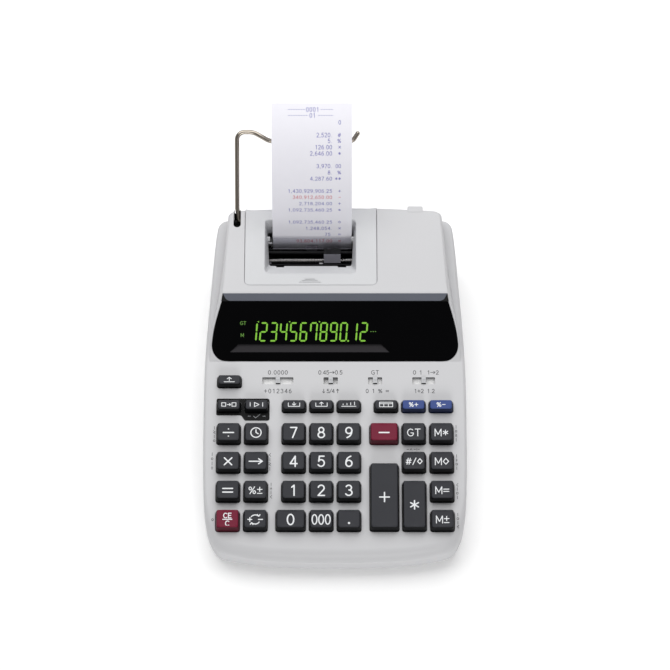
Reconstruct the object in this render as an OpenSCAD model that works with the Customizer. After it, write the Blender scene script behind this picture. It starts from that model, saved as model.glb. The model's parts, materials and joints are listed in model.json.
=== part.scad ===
// Desk printing calculator: wedge-shaped case, raised printer hump with a
// sloping display panel, a keyboard of sprung keys, four slide switches, a
// serial impact printer under a lift-off cover, and a wire arm for the roll.
// Millimetres, +Z up. The front edge is at low Y, the paper roll at high Y.

/* [Case] */
// Thickness of the case walls
wall = 2.2; // [1.8:0.1:2.6]
// Height of the parting line between the two case halves
parting_z = 14; // [12:0.5:16]
// Height of the rubber feet under the case
foot_h = 2.5; // [2:0.1:3.5]
// Radius of a rubber foot
foot_r = 6; // [4:0.5:8]
// Slope of the keyboard deck, in degrees
deck_tilt = 7; // [6.5:0.1:7.5]
// Height of the keyboard deck at its front edge
deck_front_z = 22; // [21.5:0.1:23]

/* [Keys] */
// Width of a standard key
key_w = 16.4; // [15:0.1:16.6]
// Height of a standard key above the deck
key_h = 6.5; // [5:0.1:7.5]
// Height of a function key above the deck
small_key_h = 5.5; // [4.5:0.1:6.5]
// Travel of a key
key_travel = 3; // [2:0.1:3.2]
// Gap between a key and its opening in the deck
key_gap = 0.4; // [0.3:0.05:0.5]

/* [Printer] */
// Width of the paper
paper_w = 56; // [54:0.5:57]
// Thickness of the paper solid
paper_t = 0.3; // [0.2:0.05:0.4]
// Outer radius of the paper roll
roll_r = 25; // [18:0.5:25]
// Bore radius of the roll's core
core_r = 6; // [5.5:0.1:6.5]
// Radius of the wire of the paper arm
wire_r = 1.65; // [1.4:0.05:1.8]
// Radius of the platen roller
platen_r = 5; // [4.8:0.1:5]
// Radial clearance of the running fits
fit = 0.06; // [0.04:0.01:0.08]

/* [Hidden] */
$fn = 48;
y0 = 159;                 // distance from the front edge to the origin
paper_x = -16.3;          // centre line of the paper
tilt_k = tan(deck_tilt);
disp_y = 146; disp_z = 39.1; disp_tilt = 33;
rail_tilt = 8.8;          // slope of the side rails beside the hump
top_y = 185.8; top_z = 66.8; top_k = 0.047;   // printer deck plane

function deck_z(y) = deck_front_z + (y - 6) * tilt_k;
function rail_z(y) = y < disp_y ? deck_z(y) : deck_z(disp_y) + (y - disp_y) * tan(rail_tilt);
function ptop(y) = top_z + (y - top_y) * top_k;

// Half outline of the case in plan, from the front centre to the rear centre.
plan_half = [[22, 0.2], [44.4, 1.1], [58, 2.6], [69.2, 4.7], [76, 6.3], [80.5, 8.3], [84.2, 12],
    [87, 17.5], [88.8, 23.5], [90.2, 34], [91.2, 60], [91.5, 90], [91.2, 146],
    [88.4, 200], [84.6, 244], [83.2, 249.8], [79.6, 253.1], [71, 253.7], [52, 254.6], [30, 255.6]];
function both(p) = concat([for (q = p) q], [for (i = [len(p) - 1:-1:0]) [-p[i][0], p[i][1]]]);
function unit(v) = v / norm(v);
// Moves every corner of a convex outline inwards by d.
function inset(p, d) = [for (i = [0:len(p) - 1])
    let (a = p[(i + len(p) - 1) % len(p)], b = p[i], c = p[(i + 1) % len(p)],
         t1 = unit(b - a), t2 = unit(c - b), n1 = [-t1[1], t1[0]], n2 = [-t2[1], t2[0]],
         n = unit(n1 + n2)) b + n * d / max(0.5, n * n1)];
plan = both(plan_half);

// Display panel outline, across and up the slope.
panel_half = [[78, 0.4], [83.2, 2.6], [85.9, 6], [87.2, 10.5], [87, 14.5], [86, 21.5], [84.4, 28.5], [82.4, 35.5], [80.2, 42.6]];

// Hump stations: [y, half width at the base, base z, half width at the top, top z]
hump = [[146, 88.9, 37, 88.8, 39.2], [155, 88.8, 37.5, 88.3, 44.95], [164, 88.5, 38, 87.1, 50.8],
    [173.6, 87.6, 39, 84.7, 57.03], [182.2, 86.6, 40, 81.3, 62.6], [185.8, 86, 40.5, 80, 66.8],
    [216, 81, 44, 78.5, 68.2], [250, 77.6, 48, 76.1, 69.8], [252.6, 76.4, 48.2, 74.8, 69.92]];

// Key positions: [x, y, width, depth, height]
row_f = 26.6; row_e = 48; row_d = 69.4; row_c = 90.8; row_b = 111.5; row_a = 130.3;
K = [
    [-74.5, row_a, 16.6, 7.9, small_key_h],   // 0 feed
    [-74.6, row_b, 16.6, 7.9, small_key_h],   // 1 mode
    [-55.2, row_b, 16.6, 7.9, small_key_h],   // 2 start
    [-28.8, row_b, 16.6, 7.9, small_key_h],   // 3 cost
    [-9.5, row_b, 16.6, 7.9, small_key_h],    // 4 sell
    [9.7, row_b, 16.6, 7.9, small_key_h],     // 5 margin
    [35.9, row_b, 16.6, 7.9, small_key_h],    // 6 calendar
    [55.2, row_b, 16.6, 7.9, small_key_h],    // 7 tax plus
    [74.5, row_b, 16.6, 7.9, small_key_h],    // 8 tax minus
    [-74.6, row_c, key_w, 14.2, key_h],       // 9 divide
    [-55.3, row_c, key_w, 14.2, key_h],       // 10 time
    [-28.9, row_c, key_w, 14.2, key_h],       // 11 seven
    [-9.6, row_c, key_w, 14.2, key_h],        // 12 eight
    [9.7, row_c, key_w, 14.2, key_h],         // 13 nine
    [34.4, row_c, key_w + 3.5, 14.2, key_h],  // 14 minus
    [55.2, row_c, key_w, 14.2, key_h],        // 15 grand total
    [74.6, row_c, key_w, 14.2, key_h],        // 16 memory total
    [-74.6, row_d, key_w, 14.2, key_h],       // 17 multiply
    [-55.3, row_d, key_w, 14.2, key_h],       // 18 shift
    [-28.9, row_d, key_w, 14.2, key_h],       // 19 four
    [-9.6, row_d, key_w, 14.2, key_h],        // 20 five
    [9.7, row_d, key_w, 14.2, key_h],         // 21 six
    [55.2, row_d, key_w, 14.2, key_h],        // 22 non add
    [74.6, row_d, key_w, 14.2, key_h],        // 23 memory subtotal
    [-74.6, row_e, key_w, 14.2, key_h],       // 24 equals
    [-55.3, row_e, key_w, 14.2, key_h],       // 25 percent
    [-28.9, row_e, key_w, 14.2, key_h],       // 26 one
    [-9.6, row_e, key_w, 14.2, key_h],        // 27 two
    [9.7, row_e, key_w, 14.2, key_h],         // 28 three
    [74.6, row_e, key_w, 14.2, key_h],        // 29 memory equals
    [34.4, 43.8, key_w + 3.5, 48.6, key_h],   // 30 plus, tall
    [55.2, 37.3, key_w, 35.6, key_h],         // 31 total, tall
    [-74.6, row_f, key_w, 14.2, key_h],       // 32 clear
    [-55.3, row_f, key_w, 14.2, key_h],       // 33 sign change
    [-30.8, row_f, key_w + 4, 14.2, key_h],   // 34 zero
    [-9.6, row_f, key_w, 14.2, key_h],        // 35 triple zero
    [9.7, row_f, key_w, 14.2, key_h],         // 36 point
    [74.6, row_f, key_w, 14.2, key_h],        // 37 memory plus
];
// Slide switches: [low x, high x] of each slot
S = [[-51.3, -29.4], [-8.1, 2.0], [23.3, 33.3], [54.6, 70.6]];
slot_y = 131.6; slot_d = 5.2; knob_w = 3.4; knob_d = 4.2;

// Paper path, in the Y-Z plane
platen_y = 240.3; platen_z = 45;
exit_y = 237; exit_z = 59; exit_a = 79; straight = 35; curl_r = 92; curl_a = 49;
arm_y = 248; arm_z = 63.5; arm_a = 38; arm_reach = 57.3;
function arm_pt(x, t) = [x, arm_y + t * cos(arm_a), arm_z + t * sin(arm_a)];
roll_c = [arm_pt(0, arm_reach)[1], arm_pt(0, arm_reach)[2] - (core_r - wire_r - 0.12)];
inlet_p = [256.5, 58.6];
pr = platen_r + 0.25 + paper_t / 2;
roll_tangent = let (v = roll_c - inlet_p, d = norm(v), a = atan2(v[1], v[0]),
    h = asin((roll_r + paper_t / 2 + 0.35) / d), l = d * cos(h)) inlet_p + l * [cos(a - h), sin(a - h)];
straight_end = [exit_y, exit_z] + straight * [cos(exit_a), sin(exit_a)];
curl_c = straight_end + curl_r * [sin(exit_a), -cos(exit_a)];
path = concat([roll_tangent, inlet_p, [252.6, 57], [249.8, 54.2]],
    [for (i = [0:12]) let (a = -25 - i * 163.5 / 12) [platen_y, platen_z] + pr * [cos(a), sin(a)]],
    [[exit_y, exit_z], straight_end],
    [for (i = [1:10]) let (a = 90 + exit_a - i * curl_a / 10) curl_c + curl_r * [cos(a), sin(a)]]);
function offset_path(p, d) = [for (i = [0:len(p) - 1])
    let (a = p[max(i - 1, 0)], b = p[i], c = p[min(i + 1, len(p) - 1)],
         t1 = i == 0 ? unit(c - b) : unit(b - a), t2 = i == len(p) - 1 ? t1 : unit(c - b),
         n1 = [-t1[1], t1[0]], n2 = [-t2[1], t2[0]], n = unit(n1 + n2)) b + n * d / max(0.5, n * n1)];
function reversed(p) = [for (i = [len(p) - 1:-1:0]) p[i]];

// Printer
screw_y = 223; screw_z = 50; screw_r = 1.7; screw_end = 1.2;
guide_y = 226.8; guide_z = 55; guide_r = 1.2;
ink_y = 222.5; ink_z = 43; ink_r = 3.9; ink_pin = 1;
wheel_y = 230.5; wheel_z = 46; wheel_r = 4;
carriage_x = -2; carriage_w = 12;
frame_x0 = -56; frame_x1 = 24;
cover_x0 = -64; cover_x1 = 29.6; cover_y = 192.8;
win_x0 = -49.6; win_x1 = 14.6; win_y0 = 202.4; win_y1 = 245;

// ---- helpers ----
module placed() { translate([0, -y0, 0]) children(); }
// Extrudes a Y-Z outline along X from xa to xb.
module along_x(xa, xb) { translate([xa, 0, 0]) rotate([90, 0, 90]) linear_extrude(xb - xa) children(); }
// Local frame on the keyboard deck: z is the deck's normal.
module on_deck(x, y) { translate([x, y, deck_z(y)]) rotate([deck_tilt, 0, 0]) children(); }
// Local frame on the display slope: y runs up the slope, z is its normal.
module on_slope() { translate([0, disp_y, disp_z]) rotate([disp_tilt, 0, 0]) children(); }
module block(x, y, z) { translate([x[0], y[0], z[0]]) cube([x[1] - x[0], y[1] - y[0], z[1] - z[0]]); }
module pin_x(x, y, z, r) { translate([x[0], y, z]) rotate([0, 90, 0]) cylinder(h = x[1] - x[0], r = r); }
module rod(a, b, r) {
    v = b - a;
    translate(a) rotate([0, acos(v[2] / norm(v)), atan2(v[1], v[0])]) cylinder(h = norm(v), r = r);
}
module rounded(w, d, r) {
    union() {
        square([w - 2 * r, d], center = true);
        square([w, d - 2 * r], center = true);
        for (i = [-1, 1], j = [-1, 1]) translate([i * (w / 2 - r), j * (d / 2 - r)]) circle(r);
    }
}

// ---- keys ----
// Tapered cap from n0 to h above the deck, in the deck frame.
module cap(w, d, n0, h, r) {
    intersection() {
        translate([0, 0, n0]) linear_extrude(h - n0) rounded(w, d, r);
        rotate([90, 0, 0]) linear_extrude(d + 2, center = true)
            polygon([[-w / 2, n0 - 1], [-w / 2, 0.5], [-w / 2 + 0.9, h - 0.7], [-w / 2 + 1.6, h + 1],
                [w / 2 - 1.6, h + 1], [w / 2 - 0.9, h - 0.7], [w / 2, 0.5], [w / 2, n0 - 1]]);
        along_x(-w, w) polygon([[-d / 2, n0 - 1], [-d / 2, h * 0.5], [-d / 2 + 0.9, h - 0.9],
            [-d / 2 + 2.4, h], [d / 2 - 1.2, h], [d / 2 - 0.5, h - 0.8], [d / 2, 0.5], [d / 2, n0 - 1]]);
    }
}
module key(i) {
    k = K[i]; w = k[2]; d = k[3]; h = k[4];
    placed() on_deck(k[0], k[1]) difference() {
        union() {
            cap(w, d, -2.9, h, 1.6);
            translate([-w / 2 - 0.95, -d / 2 - 1.3, -3.5]) cube([w + 1.9, d + 2.6, 0.9]);
            translate([0, 0, -9]) cylinder(h = 9 + h - 2, r = 2.4);
        }
        difference() {
            translate([-w / 2 + 1.3, -d / 2 + 1.3, -4]) cube([w - 2.6, d - 2.6, 4 + h - 2.4]);
            translate([0, 0, -9]) cylinder(h = 9 + h, r = 2.4);
        }
    }
}
module key_hole(i) {
    k = K[i];
    on_deck(k[0], k[1]) translate([-k[2] / 2 - key_gap, -k[3] / 2 - key_gap, -8])
        cube([k[2] + 2 * key_gap, k[3] + 2 * key_gap, 20]);
}
charcoal = [0.26, 0.26, 0.28]; red_key = [0.54, 0.16, 0.25]; blue_key = [0.25, 0.33, 0.56];
module key_feed() color(charcoal) key(0);
module key_mode() color(charcoal) key(1);
module key_start() color(charcoal) key(2);
module key_cost() color(charcoal) key(3);
module key_sell() color(charcoal) key(4);
module key_margin() color(charcoal) key(5);
module key_calendar() color(charcoal) key(6);
module key_tax_plus() color(blue_key) key(7);
module key_tax_minus() color(blue_key) key(8);
module key_divide() color(charcoal) key(9);
module key_time() color(charcoal) key(10);
module key_7() color(charcoal) key(11);
module key_8() color(charcoal) key(12);
module key_9() color(charcoal) key(13);
module key_minus() color(red_key) key(14);
module key_grand_total() color(charcoal) key(15);
module key_memory_total() color(charcoal) key(16);
module key_multiply() color(charcoal) key(17);
module key_shift() color(charcoal) key(18);
module key_4() color(charcoal) key(19);
module key_5() color(charcoal) key(20);
module key_6() color(charcoal) key(21);
module key_non_add() color(charcoal) key(22);
module key_memory_subtotal() color(charcoal) key(23);
module key_equals() color(charcoal) key(24);
module key_percent() color(charcoal) key(25);
module key_1() color(charcoal) key(26);
module key_2() color(charcoal) key(27);
module key_3() color(charcoal) key(28);
module key_memory_equals() color(charcoal) key(29);
module key_plus() color(charcoal) key(30);
module key_total() color(charcoal) key(31);
module key_clear() color(red_key) key(32);
module key_sign() color(charcoal) key(33);
module key_0() color(charcoal) key(34);
module key_000() color(charcoal) key(35);
module key_point() color(charcoal) key(36);
module key_memory_plus() color(charcoal) key(37);

// ---- slide switches ----
module knob(i) {
    placed() on_deck((S[i][0] + S[i][1]) / 2, slot_y) {
        translate([0, 0, -3]) linear_extrude(4.4) rounded(knob_w, knob_d, 0.5);
        translate([-knob_w / 2 - 0.9, -knob_d / 2 - 1.6, -4]) cube([knob_w + 1.8, knob_d + 3.2, 1.2]);
    }
}
module knob_slot(i) {
    on_deck(0, slot_y) translate([S[i][0], -slot_d / 2, -8]) cube([S[i][1] - S[i][0], slot_d, 20]);
}
module decimal_switch() color([0.55, 0.55, 0.56]) knob(0);
module rounding_switch() color([0.55, 0.55, 0.56]) knob(1);
module grand_total_switch() color([0.55, 0.55, 0.56]) knob(2);
module power_switch() color([0.55, 0.55, 0.56]) knob(3);

// ---- case ----
// The wedge under the keyboard deck, less d all round.
module wedge(d, low) {
    intersection() {
        translate([0, 0, low]) linear_extrude(80) polygon(d > 0 ? inset(plan, d) : plan);
        along_x(-100, 100) polygon(d > 0
            ? [[-5, low], [d - 0.2, low], [d + 1, 16], [6 + d * 0.6, deck_z(6 + d * 0.6) - d * 1.01],
               [disp_y, deck_z(disp_y) - d * 1.01], [260, rail_z(260) - d * 1.01], [260, low]]
            : [[-5, low], [0, low], [0.3, 15.6], [1.5, 18], [3.4, 20.4], [6, deck_z(6)],
               [disp_y, deck_z(disp_y)], [260, rail_z(260)], [260, low]]);
    }
}
// Solid through the hump stations, less d at the sides, top and ends.
function ring(s, d) = [[-s[1] + d, s[0], s[2] - (d > 0 ? 6 : 0)], [s[1] - d, s[0], s[2] - (d > 0 ? 6 : 0)],
    [s[3] - d, s[0], s[4] - d * 1.08], [-s[3] + d, s[0], s[4] - d * 1.08]];
module loft(rings) {
    n = len(rings);
    polyhedron(points = [for (r = rings) for (p = r) p],
        faces = concat([[3, 2, 1, 0]], [[4 * n - 4, 4 * n - 3, 4 * n - 2, 4 * n - 1]],
            [for (i = [0:n - 2]) for (j = [0:3]) each [
                [4 * i + (j + 1) % 4, 4 * i + 4 + (j + 1) % 4, 4 * i + 4 + j],
                [4 * i + (j + 1) % 4, 4 * i + 4 + j, 4 * i + j]]]));
}
module hump_solid() {
    loft([for (s = hump) ring(s, 0)]);
    // convex rear edge
    intersection() {
        translate([0, 0, 45]) linear_extrude(30) polygon(plan);
        along_x(-74, 74) polygon([[240, 47], [240, ptop(240)], [260, ptop(260)], [260, 47]]);
    }
}
hump_in = [for (s = hump) if (s[0] > 150) [s[0] + (s[0] < 183 ? 1.2 : s[0] < 190 ? 2 : s[0] > 251 ? -1 : 0),
    s[1], s[2], s[3], s[4] - (s[0] < 183 ? 0.3 : 0)]];
module panel_outline(d) { polygon(inset(both(panel_half), d)); }
module bay() { block([cover_x0 + 3, cover_x1 - 3], [cover_y + 3.4, 250], [44, 90]); }

module top_case() {
    placed() color([0.82, 0.83, 0.84]) difference() {
        union() {
            difference() {
                union() { wedge(0, parting_z); hump_solid(); }
                difference() {
                    union() { wedge(wall, parting_z - 1); loft([for (s = hump_in) ring(s, wall)]); }
                    // the rear wall keeps its thickness
                    block([-100, 100], [251.6, 262], [0, 100]);
                }
            }
            // pivot bearing of the wire arm, hung from the deck
            block([-67.2, -65.2], [243.6, 251.8], [60, 68.5]);
            block([-67.2, -58], [243.6, 251.8], [60, 66.4]);
        }
        for (i = [0:len(K) - 1]) key_hole(i);
        for (i = [0:3]) knob_slot(i);
        // seat and opening for the display panel
        on_slope() translate([0, 0, -2.1]) linear_extrude(8) panel_outline(-0.1);
        on_slope() translate([-72, 8, -9]) cube([115, 26, 12]);
        // seat and opening for the printer cover
        translate([cover_x0 - 0.4, cover_y - 0.4, 0]) multmatrix([[1, 0, 0, 0], [0, 1, 0, 0], [0, top_k, 1, 0], [0, 0, 0, 1]])
            translate([0, 0, ptop(cover_y) - 2.7]) cube([cover_x1 - cover_x0 + 0.8, 80, 20]);
        bay();
        block([cover_x0 + 3, cover_x1 - 3], [248, 250.1], [62, 90]);
        // slot for the wire arm, open to the rear
        block([-72.3, -67.7], [241.6, 262], [57, 90]);
        translate([-70, 241.6, 57]) cylinder(h = 40, r = 2.3);
        // bearing bore
        pin_x([-69, -57], arm_y, arm_z, wire_r + fit);
        // paper inlet in the rear wall
        block([-46.6, 14], [249, 262], [53.6, 65]);
    }
    // small catch on the rear edge
    placed() color([0.82, 0.83, 0.84]) block([51, 62], [253, 257.4], [66.6, 69.8]);
}

module bottom_case() {
    placed() color([0.72, 0.72, 0.73]) difference() {
        union() {
            difference() {
                translate([0, 0, foot_h]) linear_extrude(parting_z - 0.05 - foot_h) polygon(inset(plan, 0.35));
                translate([0, 0, foot_h + wall]) linear_extrude(30) polygon(inset(plan, 0.35 + wall));
            }
            // screw bosses
            for (x = [-80, 80], y = [60, 140, 200]) translate([x, y, foot_h + 1]) cylinder(h = 10, r = 3.2);
            // body of the power socket
            block([60, 74], [236, 252], [foot_h + 1, 12.6]);
        }
        for (x = [-74, 74], y = [22, 234]) translate([x, y, foot_h - 1]) cylinder(h = 1.8, r = foot_r + 0.1);
        for (x = [-80, 80], y = [60, 140, 200]) translate([x, y, foot_h - 1]) cylinder(h = 20, r = 1.3);
        // power socket, open to the rear
        translate([67, 243.4, 8.4]) rotate([-90, 0, 0]) cylinder(h = 20, r = 2.8);
        // ventilation slots
        for (i = [0:6]) block([-40, 0], [180 + i * 5, 182 + i * 5], [0, 8]);
    }
}

module rubber_feet() {
    placed() color([0.15, 0.15, 0.15])
        for (x = [-74, 74], y = [22, 234]) translate([x, y, 0]) cylinder(h = foot_h + 0.75, r = foot_r);
}

// ---- display ----
module display_window() {
    placed() color([0.05, 0.05, 0.06]) on_slope() translate([0, 0, -2]) linear_extrude(2) panel_outline(0.2);
}
module display_tube() {
    placed() color([0.2, 0.3, 0.28]) on_slope() union() {
        translate([-66, 10, -8.4]) cube([100, 22, 6]);
        translate([-69, 12, -10]) cube([106, 18, 1.7]);
    }
}

// ---- printer cover ----
module printer_cover() {
    placed() color([0.84, 0.85, 0.86]) difference() {
        union() {
            intersection() {
                translate([0, 0, 40]) linear_extrude(60) polygon(plan);
                along_x(cover_x0, cover_x1) polygon([[cover_y, ptop(cover_y)], [260, ptop(260)],
                    [260, ptop(260) - 2.2], [cover_y, ptop(cover_y) - 2.2]]);
            }
            // funnel round the window: front sill, side lips and rear wall
            along_x(win_x0 - 1.8, win_x1 + 1.8) polygon([[win_y0 - 2.4, ptop(win_y0 - 2.4) - 1.1],
                [win_y1 + 1.8, ptop(win_y1 + 1.8) - 1.1], [win_y1 + 1.8, 51.5], [232, 57.2], [213, 58.4], [win_y0 - 2.4, 65.9]]);
        }
        along_x(win_x0, win_x1) polygon([[win_y0, 90], [win_y0, 67.5], [213, 59.2], [213, 40],
            [win_y1, 40], [win_y1, 90]]);
        // finger ridges
        for (i = [0:3]) along_x(-25.5, -10) polygon([[194.6 + i * 1.3, 70], [195.2 + i * 1.3, 70],
            [195.2 + i * 1.3, ptop(195) - 0.5], [194.6 + i * 1.3, ptop(195) - 0.5]]);
    }
}
module tear_bar() {
    placed() color([0.35, 0.36, 0.38, 0.6]) union() {
        along_x(win_x0 + 3.4, win_x1 - 3.4) polygon([[231.4, 53.4], [236, 60.6], [234.8, 61], [230.2, 54.2]]);
        for (x = [win_x0, win_x1 - 4]) along_x(x, x + 4) polygon([[232.2, 54.8], [235.6, 60.1], [234.4, 60.5], [231, 55.4]]);
    }
}

// ---- wire arm and paper ----
arm_in = -58.4; arm_leg = -70;
// The wire lies in one plane: [x, distance from the pivot axis]
arm_route = [[arm_leg, 0], [arm_leg, 65], [-58.5, 65], [-47, arm_reach], [12.8, arm_reach], [16.4, arm_reach + 7.2]];
// Rounds every corner of a route to radius r, in k steps.
function rounded_route(p, r, k) = concat([p[0]],
    [for (i = [1:len(p) - 2]) let (u = unit(p[i - 1] - p[i]), v = unit(p[i + 1] - p[i]), half = acos(u * v) / 2,
        l = r / tan(half), m = unit(u + v), c = p[i] + m * r / sin(half), a = p[i] + u * l - c, b = p[i] + v * l - c)
        for (j = [0:k]) let (d = unit(a * (k - j) + b * j)) c + d * r], [p[len(p) - 1]]);
// Tube of radius r along a route in the arm's plane, with s sides and a rounded far end.
module wire(route, r, s) {
    n = len(route);
    function tangent(i) = unit(route[min(i + 1, n - 1)] - route[max(i - 1, 0)]);
    function ring_at(c, t, rr) = [for (j = [0:s - 1]) let (a = 360 * j / s, q = c + [-t[1], t[0]] * rr * cos(a), h = rr * sin(a))
        arm_pt(q[0], q[1]) + h * [0, -sin(arm_a), cos(arm_a)]];
    rings = concat([for (i = [0:n - 1]) ring_at(route[i], tangent(i), r)],
        [for (e = [30, 60, 80]) ring_at(route[n - 1] + tangent(n - 1) * r * sin(e), tangent(n - 1), r * cos(e))]);
    m = len(rings);
    polyhedron(points = [for (q = rings) each q],
        faces = concat([[for (j = [0:s - 1]) j]], [[for (j = [s - 1:-1:0]) (m - 1) * s + j]],
            [for (i = [0:m - 2]) for (j = [0:s - 1]) each [
                [(i + 1) * s + (j + 1) % s, i * s + (j + 1) % s, i * s + j], [(i + 1) * s + j, (i + 1) * s + (j + 1) % s, i * s + j]]]));
}
module paper_arm() {
    placed() color([0.75, 0.75, 0.76]) union() {
        pin_x([arm_leg - wire_r, arm_in], arm_y, arm_z, wire_r + 0.02);
        wire(rounded_route(arm_route, 4, 6), wire_r, 12);
    }
}
module paper_roll() {
    placed() color([0.97, 0.97, 0.97]) difference() {
        pin_x([paper_x - paper_w / 2, paper_x + paper_w / 2], roll_c[0], roll_c[1], roll_r);
        pin_x([paper_x - 40, paper_x + 40], roll_c[0], roll_c[1], core_r);
    }
}
module paper_strip() {
    placed() color([0.95, 0.95, 1]) along_x(paper_x - paper_w / 2 - 0.25, paper_x + paper_w / 2 + 0.25)
        polygon(concat(offset_path(path, paper_t / 2), reversed(offset_path(path, -paper_t / 2))));
}

// ---- printer ----
module printer_frame() {
    placed() color([0.25, 0.25, 0.27]) union() {
        difference() {
            union() {
                block([frame_x0, frame_x0 + 2], [214, 247], [31, 58]);
                block([frame_x1 - 2, frame_x1], [214, 247], [31, 58]);
                block([frame_x0, frame_x1], [214, 247], [31, 33]);
                block([frame_x0, frame_x1], [214, 215.6], [31, 37]);
            }
            pin_x([-70, 40], platen_y, platen_z, 2 + fit);
            pin_x([-70, 40], screw_y, screw_z, screw_end + fit);
            // relief for the paper above the platen
            block([-100, 100], [242, 260], [49.6, 70]);
        }
        pin_x([frame_x0, frame_x1], guide_y, guide_z, guide_r);
        // legs down to the lower case
        for (x = [frame_x0, frame_x1 - 5], y = [214, 242]) block([x, x + 5], [y, y + 5], [foot_h + wall, 31.5]);
    }
}
module platen_roller() {
    placed() color([0.12, 0.12, 0.12]) union() {
        pin_x([paper_x - paper_w / 2 - 1, paper_x + paper_w / 2 + 1], platen_y, platen_z, platen_r);
        pin_x([frame_x0 - 3, frame_x1 + 6], platen_y, platen_z, 2);
        pin_x([frame_x1 + 0.6, frame_x1 + 4.6], platen_y, platen_z, 6.5);
    }
}
module drive_screw() {
    placed() color([0.7, 0.7, 0.72]) union() {
        pin_x([frame_x0 + 2.4, frame_x1 - 2.4], screw_y, screw_z, screw_r);
        pin_x([frame_x0 - 2, frame_x1 + 6], screw_y, screw_z, screw_end);
        pin_x([frame_x1 + 0.6, frame_x1 + 4.6], screw_y, screw_z, 5.5);
    }
}
module print_carriage() {
    x0 = carriage_x - carriage_w / 2; x1 = carriage_x + carriage_w / 2;
    placed() color([0.3, 0.3, 0.32]) difference() {
        union() {
            along_x(x0, x1) polygon([[218.6, 47.8], [226, 46.8], [227.6, 50], [229.2, 52.6], [228.9, 57.4], [224, 57.4], [219, 53.6]]);
            for (x = [x0, x1 - 1.2]) along_x(x, x + 1.2) polygon([[220, 48.2], [226.6, 50], [229, 50], [231.5, 46], [225, 41], [220, 41]]);
            pin_x([x0 + 1, x1 - 1], wheel_y, wheel_z, wheel_r);
        }
        pin_x([-80, 80], screw_y, screw_z, screw_r + fit);
        pin_x([-80, 80], guide_y, guide_z, guide_r + fit);
        pin_x([-80, 80], ink_y, ink_z, ink_pin + fit);
        // room for the ink roller
        pin_x([x0 + 1.2, x1 - 1.2], ink_y, ink_z, ink_r + 0.35);
    }
}
module ink_roller() {
    x0 = carriage_x - carriage_w / 2;
    placed() color([0.12, 0.13, 0.3]) union() {
        pin_x([x0 + 1.6, x0 + carriage_w - 1.6], ink_y, ink_z, ink_r);
        pin_x([x0 - 0.4, x0 + carriage_w + 0.4], ink_y, ink_z, ink_pin);
    }
}
module printer_motor() {
    placed() color([0.6, 0.6, 0.62]) union() {
        pin_x([frame_x1 + 7.5, frame_x1 + 32], 226, 28, 11);
        pin_x([frame_x1 + 5, frame_x1 + 7.6], 226, 28, 3);
        block([frame_x1 + 9, frame_x1 + 30], [218, 234], [foot_h + wall, 20]);
    }
}

// ---- electronics ----
module circuit_board() {
    placed() color([0.1, 0.35, 0.2]) on_deck(0, 76) union() {
        translate([-76, -62, -14.9]) cube([152, 126, 1.6]);
        for (x = [-40, 0, 40]) translate([x - 7, 46, -18]) cube([14, 9, 3.2]);
    }
}
// Rubber sheet with one dome under each key.
module key_membrane() {
    placed() color([0.75, 0.75, 0.72]) union() {
        on_deck(0, 70) translate([-82, -54, -13.2]) cube([164, 111, 1]);
        for (k = K) on_deck(k[0], k[1]) translate([0, 0, -13]) cylinder(h = 3.8, r1 = 4.4, r2 = 2.8);
    }
}

bottom_case();
top_case();
display_window();
display_tube();
printer_cover();
tear_bar();
paper_arm();
paper_roll();
paper_strip();
printer_frame();
platen_roller();
print_carriage();
ink_roller();
drive_screw();
printer_motor();
circuit_board();
key_membrane();
rubber_feet();
decimal_switch();
rounding_switch();
grand_total_switch();
power_switch();
key_feed();
key_mode();
key_start();
key_cost();
key_sell();
key_margin();
key_calendar();
key_tax_plus();
key_tax_minus();
key_divide();
key_time();
key_7();
key_8();
key_9();
key_minus();
key_grand_total();
key_memory_total();
key_multiply();
key_shift();
key_4();
key_5();
key_6();
key_non_add();
key_memory_subtotal();
key_equals();
key_percent();
key_1();
key_2();
key_3();
key_memory_equals();
key_plus();
key_total();
key_clear();
key_sign();
key_0();
key_000();
key_point();
key_memory_plus();
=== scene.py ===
import bpy, bmesh, json, random
from math import sin, cos, tan, atan2, acos, asin, radians, pi, sqrt, hypot, ceil
from mathutils import Vector, Matrix
from mathutils.geometry import delaunay_2d_cdt

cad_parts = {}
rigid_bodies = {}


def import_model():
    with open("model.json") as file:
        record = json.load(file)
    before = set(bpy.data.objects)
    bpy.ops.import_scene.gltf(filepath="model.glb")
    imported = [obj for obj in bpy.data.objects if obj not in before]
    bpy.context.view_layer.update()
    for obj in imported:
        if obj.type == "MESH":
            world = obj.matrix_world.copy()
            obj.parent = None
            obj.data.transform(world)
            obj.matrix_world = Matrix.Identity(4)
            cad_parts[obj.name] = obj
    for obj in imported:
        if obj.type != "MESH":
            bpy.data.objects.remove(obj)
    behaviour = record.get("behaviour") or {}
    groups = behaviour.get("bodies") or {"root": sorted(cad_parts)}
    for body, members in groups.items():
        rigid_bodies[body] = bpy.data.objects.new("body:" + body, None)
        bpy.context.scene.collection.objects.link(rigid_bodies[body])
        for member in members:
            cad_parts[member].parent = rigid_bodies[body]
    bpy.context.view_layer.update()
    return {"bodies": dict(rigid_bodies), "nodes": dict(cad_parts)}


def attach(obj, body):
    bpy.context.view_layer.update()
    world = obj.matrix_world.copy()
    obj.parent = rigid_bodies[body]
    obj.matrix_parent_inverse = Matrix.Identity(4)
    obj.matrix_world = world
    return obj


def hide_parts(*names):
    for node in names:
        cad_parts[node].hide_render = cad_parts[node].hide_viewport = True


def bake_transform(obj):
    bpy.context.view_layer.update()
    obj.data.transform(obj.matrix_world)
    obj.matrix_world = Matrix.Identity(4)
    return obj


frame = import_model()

scene = bpy.context.scene
rnd = random.Random(7)
MM = 0.001
Y0 = 159.0                      # the frame's Y is measured from here; all shapes below are in mm from the front edge
TO_M = Matrix.Translation((0, -Y0 * MM, 0)) @ Matrix.Scale(MM, 4)
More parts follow.
